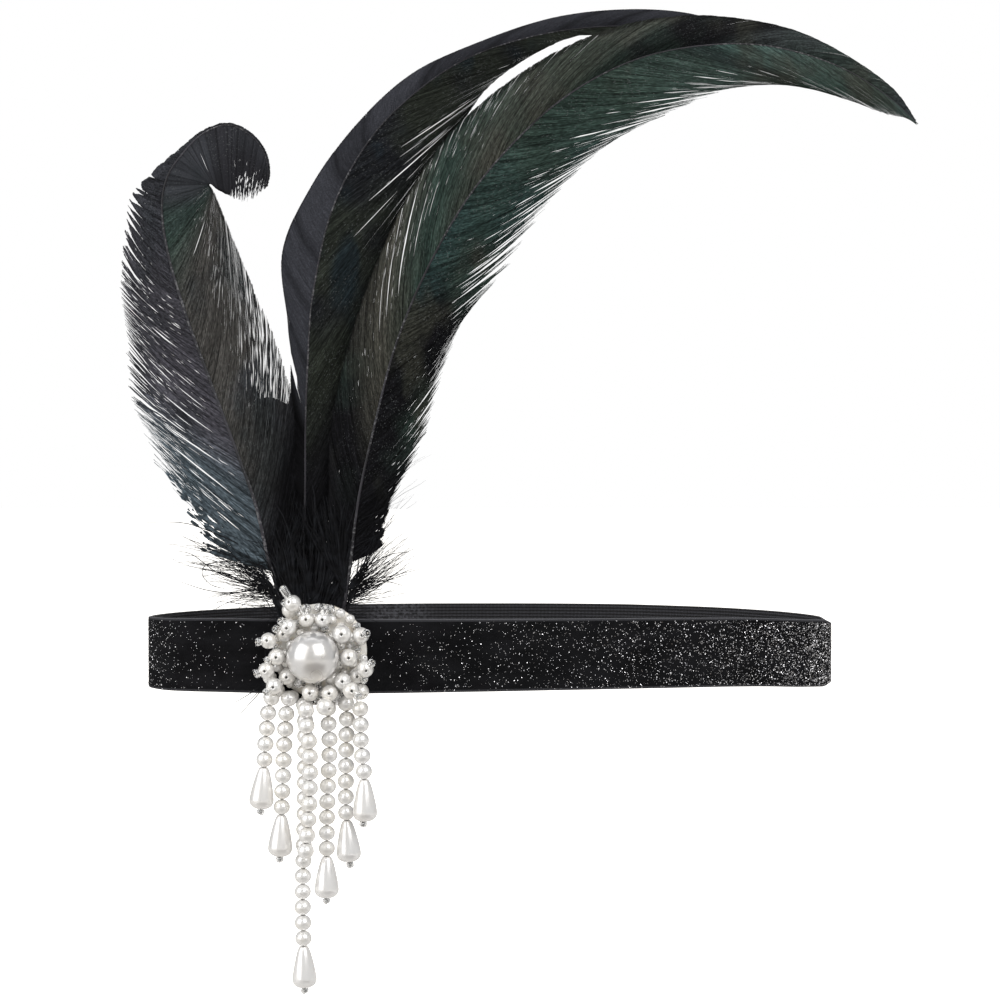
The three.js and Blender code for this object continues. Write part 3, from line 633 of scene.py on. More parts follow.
middleFeather = {
    "node": "feather_middle", "name": "featherMiddle", "height": 210.0, "seed": 32, "vaneFrom": 0.1,
    "relief": [(0, 0.8), (0.6, 0.7), (0.7, 0.2), (1, 0.12)], "pitch": 0.34,
    "shaft": [(0, 0.9), (0.12, 0.5), (0.3, 0.33), (0.5, 0.27), (1, 0.12)],
    "rows": [
        (-0.012, -0.02, -0.017, -0.02, -0.007, -0.02, 0), (-0.02, 0.087, -0.025, 0.092, -0.015, 0.092, 0),
        (-0.02, 0.115, -0.04, 0.147, 0.006, 0.147, 0.006),
        (-0.02, 0.179, -0.087, 0.277, 0.034, 0.29, 0.015),
        (-0.019, 0.274, -0.111, 0.388, 0.056, 0.417, 0.02),
        (-0.019, 0.354, -0.046, 0.446, 0.075, 0.513, 0.025),
        (-0.016, 0.449, -0.047, 0.516, 0.094, 0.611, 0.029),
        (-0.007, 0.574, -0.057, 0.638, 0.135, 0.72, 0.038),
        (0.026, 0.713, -0.011, 0.743, 0.208, 0.829, 0.043), (0.079, 0.812, 0.061, 0.842, 0.269, 0.9, 0.048),
        (0.147, 0.886, 0.149, 0.923, 0.345, 0.951, 0.052),
        (0.238, 0.948, 0.259, 0.976, 0.438, 0.987, 0.057),
        (0.355, 0.987, 0.384, 1.017, 0.532, 0.979, 0.062), (0.484, 1.002, 0.519, 1.03, 0.622, 0.948, 0.067),
        (0.59, 0.992, 0.616, 1.019, 0.68, 0.942, 0.071), (0.661, 0.969, 0.674, 0.994, 0.695, 0.943, 0.076),
        (0.699, 0.947, 0.7, 0.95, 0.699, 0.944, 0.079)],
    "left": {"sweep": [(0.1, 0), (0.25, 0.0), (0.45, 0.01), (0.8, 0.02), (1, 0)], "wave": 0.0,
             # a shoulder low on the vane and a notch of broken barbs above it
             "reach": [(0.25, 1), (0.27, 0.95), (0.28, 0.86), (0.29, 0.66), (0.295, 0.60), (0.305, 0.72),
                       (0.312, 0.9), (0.320, 1.0), (0.322, 0.5), (0.336, 0.55), (0.338, 1)],
             "fray": [(0.1, 0.1), (0.25, 0.01), (0.3, 0.003), (1, 0.003)],
             "lock": (12.0, 30.0), "pull": [(0, 0.02), (1, 0)],
             "slits": [(0.323, 0.2, 1.1, 0.35), (0.329, 0.3, 1.1, 0.4)]},
    "right": {"sweep": [(0.1, 0), (0.3, 0.02), (0.5, 0.04), (0.85, 0.03), (1, 0)], "wave": 0.5,
              "reach": [(0, 1), (0.25, 1.02), (0.4, 1.18), (0.46, 1.16), (0.5, 1.05), (0.54, 0.96),
                        (0.58, 0.89), (0.61, 0.84), (0.64, 0.78), (0.67, 0.66), (0.7, 0.49), (0.73, 0.33),
                        (0.76, 0.2), (0.8, 0.3), (1, 0.6)],
              "fray": [(0.1, 0.1), (0.3, 0.03), (0.5, 0.02), (0.6, 0.008), (1, 0.008)],
              "lock": (3.0, 9.0), "pull": [(0, 0.02), (0.45, 0.05), (0.54, 0.3), (0.6, 0.02), (1, 0)],
              "slits": [(0.52, 0.35, 1.0, 0.7), (0.505, 0.5, 1.05, 0.4), (0.475, 0.3, 0.98, 0.75),
                        (0.485, 0.5, 0.95, 0.5), (0.45, 0.25, 0.75, 0.5), (0.61, 0.62, 0.74, 0.4)],
              "fineSlits": [(26, (0.44, 0.54), (0.4, 0.8), (0.08, 0.25), 0.25)]},
}
leftFeather = {
    "node": "feather_left", "name": "featherLeft", "height": 177.0, "seed": 33, "vaneFrom": 0.075,
    "relief": [(0, 1), (0.6, 1), (0.72, 0.15), (1, 0.15)], "pitch": 0.32,
    "shaft": [(0, 1.05), (0.15, 0.72), (0.3, 0.55), (0.5, 0.4), (0.8, 0.22), (1, 0.12)],
    "rows": [
        (-0.035, -0.02, -0.041, -0.02, -0.029, -0.02, 0), (-0.07, 0.104, -0.076, 0.109, -0.064, 0.109, 0),
        (-0.074, 0.122, -0.207, 0.1, -0.057, 0.149, 0), (-0.079, 0.149, -0.26, 0.171, -0.049, 0.203, 0),
        (-0.089, 0.175, -0.306, 0.346, -0.038, 0.333, 0), (-0.113, 0.278, -0.334, 0.438, -0.039, 0.4, 0),
        (-0.143, 0.363, -0.351, 0.479, -0.043, 0.468, 0.002),
        (-0.195, 0.502, -0.36, 0.614, -0.075, 0.581, 0.006),
        (-0.242, 0.631, -0.369, 0.689, -0.127, 0.706, 0.006),
        (-0.277, 0.753, -0.357, 0.809, -0.175, 0.825, 0.003),
        (-0.287, 0.84, -0.347, 0.857, -0.191, 0.866, 0), (-0.276, 0.894, -0.305, 0.903, -0.199, 0.879, 0),
        (-0.248, 0.938, -0.259, 0.943, -0.196, 0.88, 0.006),
        (-0.213, 0.977, -0.213, 0.983, -0.189, 0.874, 0.023),
        (-0.17, 0.997, -0.168, 1.001, -0.17, 0.865, 0.051),
        (-0.131, 0.982, -0.128, 0.986, -0.149, 0.855, 0.079),
        (-0.107, 0.951, -0.103, 0.953, -0.127, 0.865, 0.102),
        (-0.101, 0.916, -0.097, 0.916, -0.111, 0.882, 0.113),
        (-0.105, 0.888, -0.103, 0.888, -0.107, 0.884, 0.119)],
    "left": {"sweep": [(0.1, 0), (0.3, 0.02), (0.5, 0.03), (0.6, 0.0), (1, 0)], "wave": 1.0,
             "dense": [(0.06, 0.08), (0.15, 0.15), (0.165, 0.4), (0.175, 1)],
             "reach": [(0.1, 1), (0.17, 0.72), (0.2, 0.84), (0.225, 1)],
             "scallop": [(0, 0), (0.44, 0), (0.49, 0.3), (0.57, 0.25), (0.62, 0.05), (1, 0)],
             "fray": [(0.06, 0.6), (0.2, 0.45), (0.27, 0.25), (0.34, 0.14), (0.43, 0.1), (0.48, 0.03),
                      (0.6, 0.03), (1, 0.02)],
             "lock": (1.6, 7.0),
             "pull": [(0, 0.2), (0.25, 0.4), (0.42, 0.5), (0.5, 0.75), (0.58, 0.6), (0.64, 0.1), (1, 0)],
             "thin": [(0.06, 0.2), (0.17, 0.6), (0.22, 0.45), (0.28, 0.3), (0.35, 0.15), (0.44, 0.12),
                      (0.5, 0.03), (1, 0)],
             "slits": [(0.31, 0.15, 0.75, 0.7), (0.345, 0.12, 0.7, 0.5), (0.27, 0.1, 0.8, 0.8),
                       (0.25, 0.1, 0.6, 0.4)],
             "fineSlits": [(210, (0.22, 0.46), (0.08, 0.85), (0.04, 0.13), 0.27),
                           (26, (0.2, 0.45), (0.1, 0.5), (0.15, 0.4), 0.3)]},
    "right": {"sweep": [(0.1, 0), (0.2, 0.08), (0.33, 0.13), (0.46, 0.11), (0.55, 0.05), (0.6, 0.01),
                        (1, 0)],
              "bow": 0.5, "wave": 0.7, "scallop": [(0.8, 0), (0.86, 0.1)],
              "fray": [(0.1, 0.05), (0.3, 0.04), (0.44, 0.03), (0.5, 0.0), (0.76, 0.0), (0.8, 0.12),
                       (1, 0.14)],
              "lock": (1.5, 5.0), "pull": [(0, 0), (0.3, 0.03), (0.6, 0), (0.8, 0.1), (1, 0.4)],
              "thin": [(0.1, 0), (0.14, 0.35), (0.24, 0.5), (0.36, 0.42), (0.44, 0.25), (0.5, 0.12), (0.56, 0),
                       (0.78, 0), (0.84, 0.5)],
              "slits": [(0.465, 0.3, 0.72, 0.5), (0.70, 0.1, 0.85, 0.3)],
              "fineSlits": [(60, (0.18, 0.4), (0.4, 0.92), (0.05, 0.15), 0.16)]},
}
barb = {
    "steps": 22, "bendAt": 0.6, "camber": 0.06, "ridge": 0.35, "cover": 0.88, "halfWidths": (0.03, 0.55),
    "hairHalfWidth": 0.08, "brokenShare": 0.12, "slitSpan": 5, "jitter": 0.3, "maxLocks": 400,
    "roll": (9, 10, 12),  # degrees by the lock, by the place in it and by chance
    "depth": (0.28, 0.22, 0.07, 3.0),  # the same in millimetres, and at ragged tips
}


def featherLine(feather, column):
    rows = np.array(feather["rows"])
    height = feather["height"]
    return Spline(np.stack([brooch["across"] + rows[:, column] * height, quillDepth + rows[:, 6] * height,
                            brooch["up"] + rows[:, column + 1] * height], axis=-1))


def ribbons(lines, halfWidths, facing, ridge):
    # strips of three points across, with the middle one raised a little
    ahead = unit(np.gradient(lines, axis=1))
    across = unit(np.cross(facing, ahead))
    wide = across * halfWidths[..., None]
    lift = facing * (halfWidths * ridge)[..., None]
    points = np.stack([lines - wide, lines + lift, lines + wide], axis=2)
    count, steps = lines.shape[:2]
    one = gridFaces(steps, 3)
    return points, (np.arange(count)[:, None, None] * steps * 3 + one[None]).reshape(-1, 4)


def barbShift(side, root, share, fray, isHair, rng):
    # sideways, for slits, for waves that neighbours share and for what goes astray at the tips
    slits = list(side["slits"])
    for many, alongs, starts, lengths, gap in side["fineSlits"]:
        for _ in range(many):
            begin = rng.uniform(*starts)
            slits.append((rng.uniform(*alongs), begin, min(begin + rng.uniform(*lengths), 1.05),
                          gap * rng.uniform(0.4, 1.4)))
    shift = np.zeros_like(share)
    for at, begin, finishAt, gap in slits:
        away = (np.arange(len(root)) - np.searchsorted(root[:, 0], at) + 0.5)[:, None]
        swell = np.sin(pi * np.clip((share - begin) / (finishAt - begin), 0, 1))
        shift += np.sign(away) * gap / 2 * swell * np.exp(-np.abs(away) / barb["slitSpan"])
    shift += side["wave"] * share * (0.18 * np.sin(root * 260 + share * 3) + 0.1 * np.sin(root * 610))
    loose = smoothStep(share, 0.7, 1.0) * byShare([(0, 0.2), (0.08, 0.8), (0.3, 1.1)], fray)
    shift += rng.normal(0, 0.5, root.shape) * loose * np.minimum(fray * 6, 1)
    return shift + np.where(isHair, rng.normal(0, 3.0, root.shape) * share ** 2, 0)


def makeBarbs(feather, sideName, rng):
    side, pitch = {**plainSide, **feather[sideName]}, feather["pitch"]
    sign = -1 if sideName == "left" else 1
    shaft, leftEdge, rightEdge = (featherLine(feather, column) for column in (0, 2, 4))
    edge = leftEdge if sign < 0 else rightEdge
    first, last = np.interp([feather["vaneFrom"], 0.995], shaft.shares, shaft.run)
    run = np.arange(first, last, pitch)
    run = run + rng.uniform(-barb["jitter"], barb["jitter"], len(run)) * pitch
    run = run[rng.random(len(run)) < byShare(side["dense"], shaft.shareAt(run))]
    # locks of neighbouring barbs, with four draws for each lock
    borders = np.cumsum(rng.uniform(*side["lock"], barb["maxLocks"])) + first
    lock = np.searchsorted(borders, run)
    low, high = np.concatenate([[first], borders])[lock], borders[lock]
    middle, half = (low + high) / 2, (high - low) / 2
    inLock, lockMiddle = ((run - middle) / half)[:, None], shaft.shareAt(middle)[:, None]
    draws = rng.uniform(-1, 1, (barb["maxLocks"], 4))[lock]
    tilt, tint, sink, stray = (draws[:, [column]] for column in range(4))
    # from here each barb is a row
    root = shaft.shareAt(run)[:, None]
    isHair, fray = byShare(side["dense"], root) < 0.9, byShare(side["fray"], root)
    ragged = 0.55 * rng.random(root.shape) ** 1.5 + 0.45 * inLock ** 2 * np.abs(tilt)
    reach = (1 - fray * ragged) * (1 - byShare(side["scallop"], root) * inLock ** 2)
    sigma = np.linspace(0, 1, barb["steps"]) ** 0.85
    share = reach * byShare(side["reach"], root) * sigma
    sweep, start = byShare(side["sweep"], root), shaft.at(root)
    bend = start + barb["bendAt"] * (edge.at(root + side["bow"] * sweep) - start)

    def barbLines(shift):
        end, past = edge.at(np.clip(root + sweep + shift, 0, 1)), share[..., None]
        return (1 - past) ** 2 * start + 2 * (past * (1 - past)) * bend + past ** 2 * end

    plain = barbLines(0)
    pull = byShare(side["pull"], root) * (0.6 + 0.4 * tint)
    lines = barbLines(pull * (lockMiddle - root) * smoothStep(share, 0.25, 1.0))
    # the surface's facing, from the width of the whole vane
    shaftAhead = unit(shaft.at(root + 2e-3) - shaft.at(root - 2e-3))
    facing = unit(np.cross(unit(rightEdge.at(root) - leftEdge.at(root)), shaftAhead))
    # barbs run back at the edges, as the vane's camber does
    long = np.linalg.norm(lines[:, -1:] - start, axis=-1)
    lines = lines - front * (barb["camber"] * long * (3 * share ** 2 - 2 * share))[..., None]
    ahead, apart = unit(np.gradient(plain, axis=1)), np.gradient(plain, run, axis=0) * pitch
    apart = apart - (apart * ahead).sum(-1, keepdims=True) * ahead
    spacing = np.linalg.norm(apart, axis=-1)
    # calm where the barbs draw together, and free where they are hairs
    shift = barbShift(side, root, share, fray, isHair, rng)
    shift = shift * np.where(isHair, 1, np.clip(spacing / (0.6 * pitch), 0, 1))
    lines = lines + unit(apart) * shift[..., None]
    relief = byShare(feather["relief"], root)
    byLock, byPlace, byChance, byTip = barb["depth"]
    depth = (sink * byLock + inLock * byPlace) * (relief * smoothStep(share, 0.1, 0.9))
    depth = depth + rng.uniform(-byChance, byChance, root.shape) + stray * fray * byTip * share ** 3
    lines = lines + facing * depth[..., None]
    # wide enough to close the vane, with specks of light where it is thin
    thin = byShare(side["thin"], root) * smoothStep(share, 0.25, 0.85) * rng.uniform(0.85, 1.15, root.shape)
    narrow = np.where(rng.random(share.shape) < thin, barb["brokenShare"], 1 - 0.2 * thin)
    tip = 1 - 0.6 * np.minimum(fray * 8, 1) * smoothStep(sigma, 0.86, 1.0)
    halfWidth = np.clip(spacing * barb["cover"] * narrow * tip, *barb["halfWidths"])
    halfWidth = np.where(isHair, np.minimum(halfWidth, barb["hairHalfWidth"] * tip), halfWidth)
    byLock, byPlace, byChance = barb["roll"]
    roll = tilt * byLock + inLock * byPlace + rng.uniform(-byChance, byChance, root.shape)
    roll = np.radians(roll * relief)[..., None]
    across = unit(np.cross(facing, unit(np.gradient(lines, axis=1))))
    facing = unit(np.cos(roll) * facing + np.sin(roll) * across)
    points, faces = ribbons(lines, halfWidth, facing, barb["ridge"])

    def mapOf(*values):
        return np.stack([np.broadcast_to(value[..., None], points.shape[:3]) for value in values], axis=-1)

    return (points, [faces], 0, mapOf(root, 0.5 + sign * 0.5 * np.minimum(share, 1)),
            mapOf(0.5 + 0.5 * inLock, 0.5 + 0.5 * tint))


wisp = {"steps": 12, "curl": 0.12, "curls": (4, 11), "standOff": (-0.2, 0.9), "taper": 0.8, "twist": 0.5}


def makeWisps(feather, row, rng):
    # loose hairs that leave the shaft and bend as they go
    side, count, alongs, angles, bends, lengths, forwards, widths = row

    def draw(low, high):
        return rng.uniform(low, high, (count, 1))

    shaft, root = featherLine(feather, 0), draw(*alongs)
    angle, bend, length = np.radians(draw(*angles)), np.radians(draw(*bends)), draw(*lengths)
    ahead = unit(shaft.at(root + 4e-3) - shaft.at(root - 4e-3))
    out = unit(np.cross(ahead, front)) * (1 if side == "right" else -1)
    share = np.linspace(0, 1, wisp["steps"])
    turn = (angle + bend * share + wisp["curl"] * np.sin(share * draw(*wisp["curls"])))[..., None]
    heading = ahead * np.cos(turn) + out * np.sin(turn) + front * draw(*forwards)[..., None]
    lines = shaft.at(root) + np.cumsum(heading, axis=1) * (length / (len(share) - 1))[..., None]
    lines = lines + front * draw(*wisp["standOff"])[..., None]
    halfWidth = draw(*widths) * (1 - wisp["taper"] * share ** 2) / 2
    facing = unit(np.broadcast_to(front, lines.shape) + wisp["twist"] * rng.normal(0, 1, (count, 1, 3)))
    points, faces = ribbons(lines, halfWidth, facing, 0.5)
    return points, [faces], 0


# side, how many, then ranges: along the shaft, angle, bend, length, forward and width
featherWisps = {
    "featherLeft": [
        ("left", 90, (0.045, 0.1), (15, 75), (-30, 50), (12, 30), (-0.1, 0.06), (0.14, 0.28)),
        ("left", 90, (0.09, 0.24), (40, 75), (-35, 25), (16, 36), (-0.06, 0.04), (0.12, 0.26)),
        ("left", 50, (0.03, 0.08), (45, 100), (-40, 20), (6, 17), (-0.02, 0.2), (0.10, 0.2)),
        ("right", 260, (0.0, 0.1), (4, 32), (-20, 20), (10, 30), (-0.08, 0.02), (0.35, 0.8))],
    "featherRight": [
        ("right", 150, (0.045, 0.13), (18, 62), (-24, 30), (10, 29), (-0.12, 0.06), (0.13, 0.26)),
        ("right", 50, (0.1, 0.3), (28, 55), (-30, 10), (16, 28), (-0.06, 0.04), (0.09, 0.2)),
        ("right", 40, (0.03, 0.08), (40, 95), (-40, 20), (5, 15), (-0.02, 0.2), (0.10, 0.2)),
        ("left", 260, (0.0, 0.12), (4, 34), (-20, 10), (12, 30), (-0.10, 0.0), (0.35, 0.8))],
    "featherMiddle": [
        ("left", 300, (0.0, 0.11), (4, 32), (-24, 6), (12, 34), (-0.06, 0.04), (0.4, 0.9)),
        ("right", 380, (0.0, 0.12), (4, 44), (-36, 2), (14, 40), (-0.06, 0.04), (0.4, 0.9))],
}
# single curled barbs: places across and up from the brooch's middle and forward of the quills
strayBarbs = [
    [(-17.4, 25.0, 0), (-22, 27.6, 0.8), (-27.1, 30.2, 1.0), (-32, 30.4, 0.6), (-37.0, 29.2, 0),
     (-38.0, 26.6, 0), (-35.6, 23.2, 0.2), (-30.4, 21.4, 0.4)],
    [(-18, 24, 0), (-26, 24.4, 1), (-33, 27.0, 1), (-41.5, 33.0, 0.5), (-47.0, 34.2, 0.5)],
    [(-17, 22, 0), (-27, 20.2, 1), (-36, 21.0, 1), (-46, 24.0, 0)],
    [(-19, 33, 0), (-30, 38.4, 1), (-43, 43.2, 0.8), (-58, 43.6, 0)],
    [(-10, -2, 1), (-17, -10.5, 0), (-23.2, -16.6, 0)],
    [(-9, -3, 1), (-18, -12.2, 0), (-26.4, -21.4, 0)],
    [(-8, -1, 1), (-20, -12.0, 0.4), (-29.0, -17.6, 0)],
    [(9.8, 21, 0), (16, 28, 1), (25, 33.0, 1), (31.0, 33.6, 0)],
    [(9.6, 19, 0), (15, 22.5, 1), (23, 24.0, 1), (29.4, 22.2, 0)]]


def makeStrays():
    steps = np.linspace(0, 1, 24)
    lines = np.stack([Spline([(brooch["across"] + x, quillDepth - forward, brooch["up"] + z)
                              for x, z, forward in points]).at(steps) for points in strayBarbs])
    halfWidth = np.broadcast_to(0.19 * (1 - 0.7 * steps ** 2), lines.shape[:2])
    points, faces = ribbons(lines, halfWidth, np.broadcast_to(front, lines.shape), 0.5)
    makePiece("featherStrayBarbs", [(points, [faces], 0)], [downFinish])


def makeFeather(feather, finish):
    rng = np.random.default_rng(feather["seed"])
    vane = [makeBarbs(feather, "left", rng), makeBarbs(feather, "right", rng)]
    makePiece(feather["name"] + "Vane", vane, [finish], [feather["node"]], ["vane", "lock"])
    shaft = featherLine(feather, 0)
    shares = shaft.shareAt(np.linspace(0, shaft.length, 160))
    line = shaft.at(shares) + front * 0.12
    makePiece(feather["name"] + "Shaft", [tube(line, byShare(feather["shaft"], shares), 8, 0.8)],
              [shaftFinish])
    wisps = [makeWisps(feather, group, rng) for group in featherWisps[feather["name"]]]
    makePiece(feather["name"] + "Down", wisps, [downFinish])
    print(feather["name"], sum(len(part[1][0]) for part in vane) * 2, "triangles in its vane")


makeStrays()
makeFeather(leftFeather, leftFinish)
makeFeather(middleFeather, middleFinish)
makeFeather(rightFeather, rightFinish)

# the brooch

print("brooch")


def onBrooch(across, forward, up):
    return np.array([brooch["across"] + across, baseFront - forward, brooch["up"] + up])


def domeHeight(across, up):
    # the dome's height in front of the backing, kept behind the large pearl
    dome, large = brooch["dome"], brooch["largeRadius"]
    out = np.hypot(across - dome["across"], up - dome["up"]) / dome["radius"]
    height = dome["rise"] * np.clip(1 - out ** 2, 0, 1) ** 0.6
    fromPearl = np.minimum(np.hypot(across, up), large)
    return np.minimum(height, large - np.sqrt(large ** 2 - fromPearl ** 2) + 0.1)


def makeBase():
    radius, thick, dome = brooch["baseRadius"] - 0.8, brooch["baseThickness"], brooch["dome"]
    bevel, top = brooch["backing"]["bevel"], thick - brooch["backing"]["recess"]
    flat = radius - bevel
    outline = [(0.01, 0.0), (flat, 0.0)]
    outline += [(flat + bevel * sin(a), bevel - bevel * cos(a)) for a in np.linspace(0.2, pi / 2, 5)]
    outline += [(flat + bevel * cos(a), top - bevel + bevel * sin(a)) for a in np.linspace(0, pi / 2, 6)]
    outline += [(radius * 0.5, top), (0.01, top)]
    makePiece("broochBacking", [turned(outline, 64, onBrooch(0, -thick, 0), front)], [feltFinish])
    # a pearly dome with a rolled rim on the backing
    sides = 96
    turns = np.arange(sides) * 2 * pi / sides
    rings = np.concatenate([np.linspace(0.01, 0.92, 22), [0.95, 0.98, 1.0, 1.0, 0.98]]) * dome["radius"]
    lifts = np.concatenate([np.zeros(22), [0.0, 0.12, 0.12, -0.2, -0.45]])
    x = dome["across"] + rings[:, None] * np.cos(turns)
    z = dome["up"] + rings[:, None] * np.sin(turns)
    forward = domeHeight(x, z) + lifts[:, None]
    points = np.stack([brooch["across"] + x, baseFront - forward, brooch["up"] + z], axis=-1)
    faces, inner = gridFaces(len(rings), sides, aroundColumns=True), np.arange(sides)
    outer = inner + (len(rings) - 1) * sides
    shell = (points, [faces, outer[::-1][None], inner[None]], 0)
    makePiece("broochBase", [shell], [ivoryFinish], ["brooch_base"])


def makeLargePearl():
    radius = brooch["largeRadius"]
    centre = onBrooch(0, clearance + radius, 0)
    makePiece("broochLargePearl", [turned(ballProfile(radius, 40), 56, centre, front)], [largePearlFinish],
              ["centre_pearl"])


# across, up and reach in pearl diameters, the size of the pearl, its seat in shares of the base's radius,
# and how long its seed bead is in millimetres
stalks = [
    (-1.30, 3.39, 1.55, 1.04, -0.186, 0.876, 4.4), (-1.57, 2.89, 0.68, 0.96, -0.43, 0.785, 1.8),
    (-0.46, 2.35, 1.16, 0.97, -0.136, 0.687, 3.0), (0.58, 2.35, 1.16, 0.97, 0.168, 0.687, 3.0),
    (-1.57, 1.90, 1.55, 1, -0.39, 0.616, 1.8), (-1.95, 1.39, 0.68, 1, -0.57, 0.407, 1.8),
    (-2.86, 0.99, 1.26, 1, -0.79, 0.249, 1.9), (-2.35, -0.05, 1.16, 1.04, -0.686, -0.014, 1.7),
    (-3.00, -0.89, 1.26, 1, -0.825, -0.243, 1.8), (-1.71, -1.34, 0.87, 1.02, -0.498, -0.393, 1.8),
    (-2.48, -1.87, 1.47, 1, -0.695, -0.52, 1.8), (1.79, 1.42, 1.35, 1.14, 0.507, 0.403, 0),
    (3.00, 1.32, 1.16, 1, 0.80, 0.35, 1.9), (2.26, -0.05, 1.45, 1.07, 0.654, -0.014, 0),
    (3.29, -0.77, 1.55, 1.04, 0.876, -0.141, 1.9), (2.70, -1.28, 0.72, 1, 0.76, -0.36, 1.6),
    (1.86, -1.54, 1.47, 1.02, 0.544, -0.45, 1.7), (2.44, -2.06, 2.20, 1.02, 0.60, -0.616, 1.7),
    (2.96, -2.32, 0.64, 1, 0.70, -0.57, 0), (-0.22, -2.32, 1.16, 1.05, -0.063, -0.677, 0),
    (1.02, -2.32, 1.35, 1.02, 0.297, -0.677, 0)]


def seedBead(centre, axis, long, radius=1.4, hole=0.8):
    # a short glass tube with round ends over a silver lining
    soft = min(0.6, long / 2 - 0.05)
    half = long / 2 - soft
    outer = [(radius - soft + soft * cos(a), half + soft * sin(a)) for a in np.linspace(0, pi / 2, 6)]
    outline = [(r, -z) for r, z in outer[::-1]] + outer + [(hole, long / 2 - 0.12), (hole, 0.12 - long / 2)]
    sides, inside = 12, hole - 0.04
    lining = [(0.01, 0.15 - long / 2), (inside, 0.1 - long / 2), (inside, long / 2 - 0.1),
              (0.01, long / 2 - 0.15)]
    glass = turned(outline + outline[:1], 18, centre, axis, 2)
    silver = turned(lining, sides, centre, axis, 3)
    ringAt = np.repeat([z / 2.0 for _, z in lining], sides)
    return [glass, (*silver, np.stack([ringAt, ringAt], axis=-1))]


beadFinishes = [smallPearlFinish, threadFinish, glassFinish, liningFinish]


def makeStalk(number, row):
    across, up, reach, size, seatX, seatZ, seed = row
    pearl, large = brooch["pearl"], brooch["largeRadius"]
    radius, flat = pearl * size / 2, sqrt(across ** 2 + up ** 2)
    rise = reach * pearl - large - clearance
    room = sqrt(max((large + radius + clearance / 2) ** 2 - rise ** 2, 0))
    out = max(flat * pearl, room) / flat
    centre = onBrooch(across * out, reach * pearl, up * out)
    seat = onBrooch(seatX * brooch["baseRadius"], 0, seatZ * brooch["baseRadius"])
    axis = unit(centre - seat)
    length = np.linalg.norm(centre - seat)
    stem = [seat + axis * d for d in np.linspace(-0.3, length - radius * 0.9, 6)]
    shapes = [turned(ballProfile(radius * 1.04, 18, brooch["hole"]), 26, centre, axis, 0, number * 0.7),
              tube(stem, brooch["stem"], 8, index=1, wide=upward)]
    # the seed bead leans away from the middle of the brooch, as the thread turns back through it
    away = brooch["seedTurns"].get(number, (across, up))
    lean = unit(axis + brooch["leans"].get(number, 1.6) * unit(np.array([away[0], 0, away[1]])))
    if seed:
        tip = centre + lean * (radius + seed / 2 - 0.12)
        shapes += seedBead(tip, lean, seed)
        knot = centre + lean * (radius + seed)
        ends = [knot - lean * 0.5, knot, knot + lean * 0.25]
        shapes.append(tube(ends, [0.3, 0.3, 0.12], 6, index=1, wide=upward))
    makePiece(f"broochStalk{number:02d}", shapes, beadFinishes, [f"stalk_pearl_{number:02d}"],
              ["bead"])
    return centre, radius


def makeFiller(stalkBalls):
    # seed beads and small pearls stitched to the dome in the gaps between the stalks
    rng, filler, dome = np.random.default_rng(brooch["filler"]["seed"]), brooch["filler"], brooch["dome"]
    taken = list(stalkBalls) + [(onBrooch(0, clearance + brooch["largeRadius"], 0), brooch["largeRadius"])]
    shapes, placed = [], 0
    draws = [(size, low) for count, size, low in filler["passes"] for _ in range(count)]
    for size, low in draws:
        angle, out = rng.uniform(0, 2 * pi), rng.uniform(7.5, brooch["baseRadius"] - 0.9)
        across, up = out * cos(angle), out * sin(angle)
        onDome = np.hypot(across - dome["across"], up - dome["up"]) < dome["radius"] - 0.8
        # below the dome they cover the backing's edge
        if up > low or not onDome and up > -6:
            continue
        centre = onBrooch(across, domeHeight(across, up) + size * 0.8, up)
        if any(np.linalg.norm(centre - ball) < radius + size + filler["gap"] for ball, radius in taken):
            continue
        taken.append((centre, size))
        placed += 1
        axis = unit(front * 0.6 + rng.normal(0, 1, 3))
        if placed % 3:
            shapes.append(turned(ballProfile(size, 12, 0.3), 18, centre, axis, 0, rng.uniform(0, 6)))
        else:
            shapes += seedBead(centre, axis, size * 1.7, size * 0.95, size * 0.55)
    *place, size = brooch["frontPearl"]
    centre = onBrooch(*place)
    stem = [onBrooch(place[0], 0.2, place[2] + 2.5), centre]
    shapes += [turned(ballProfile(size, 18, brooch["hole"]), 26, centre, front + np.array([0.7, 0, -0.2]), 0),
               tube(np.linspace(*stem, 6), brooch["stem"], 8, index=1, wide=upward)]
    print(placed, "filler beads")
    makePiece("broochFillerBeads", shapes, beadFinishes, mapNames=["bead"])


makeBase()
makeLargePearl()
makeFiller([makeStalk(number, row) for number, row in enumerate(stalks, 1)])

# the strings of pearls

print("strings")
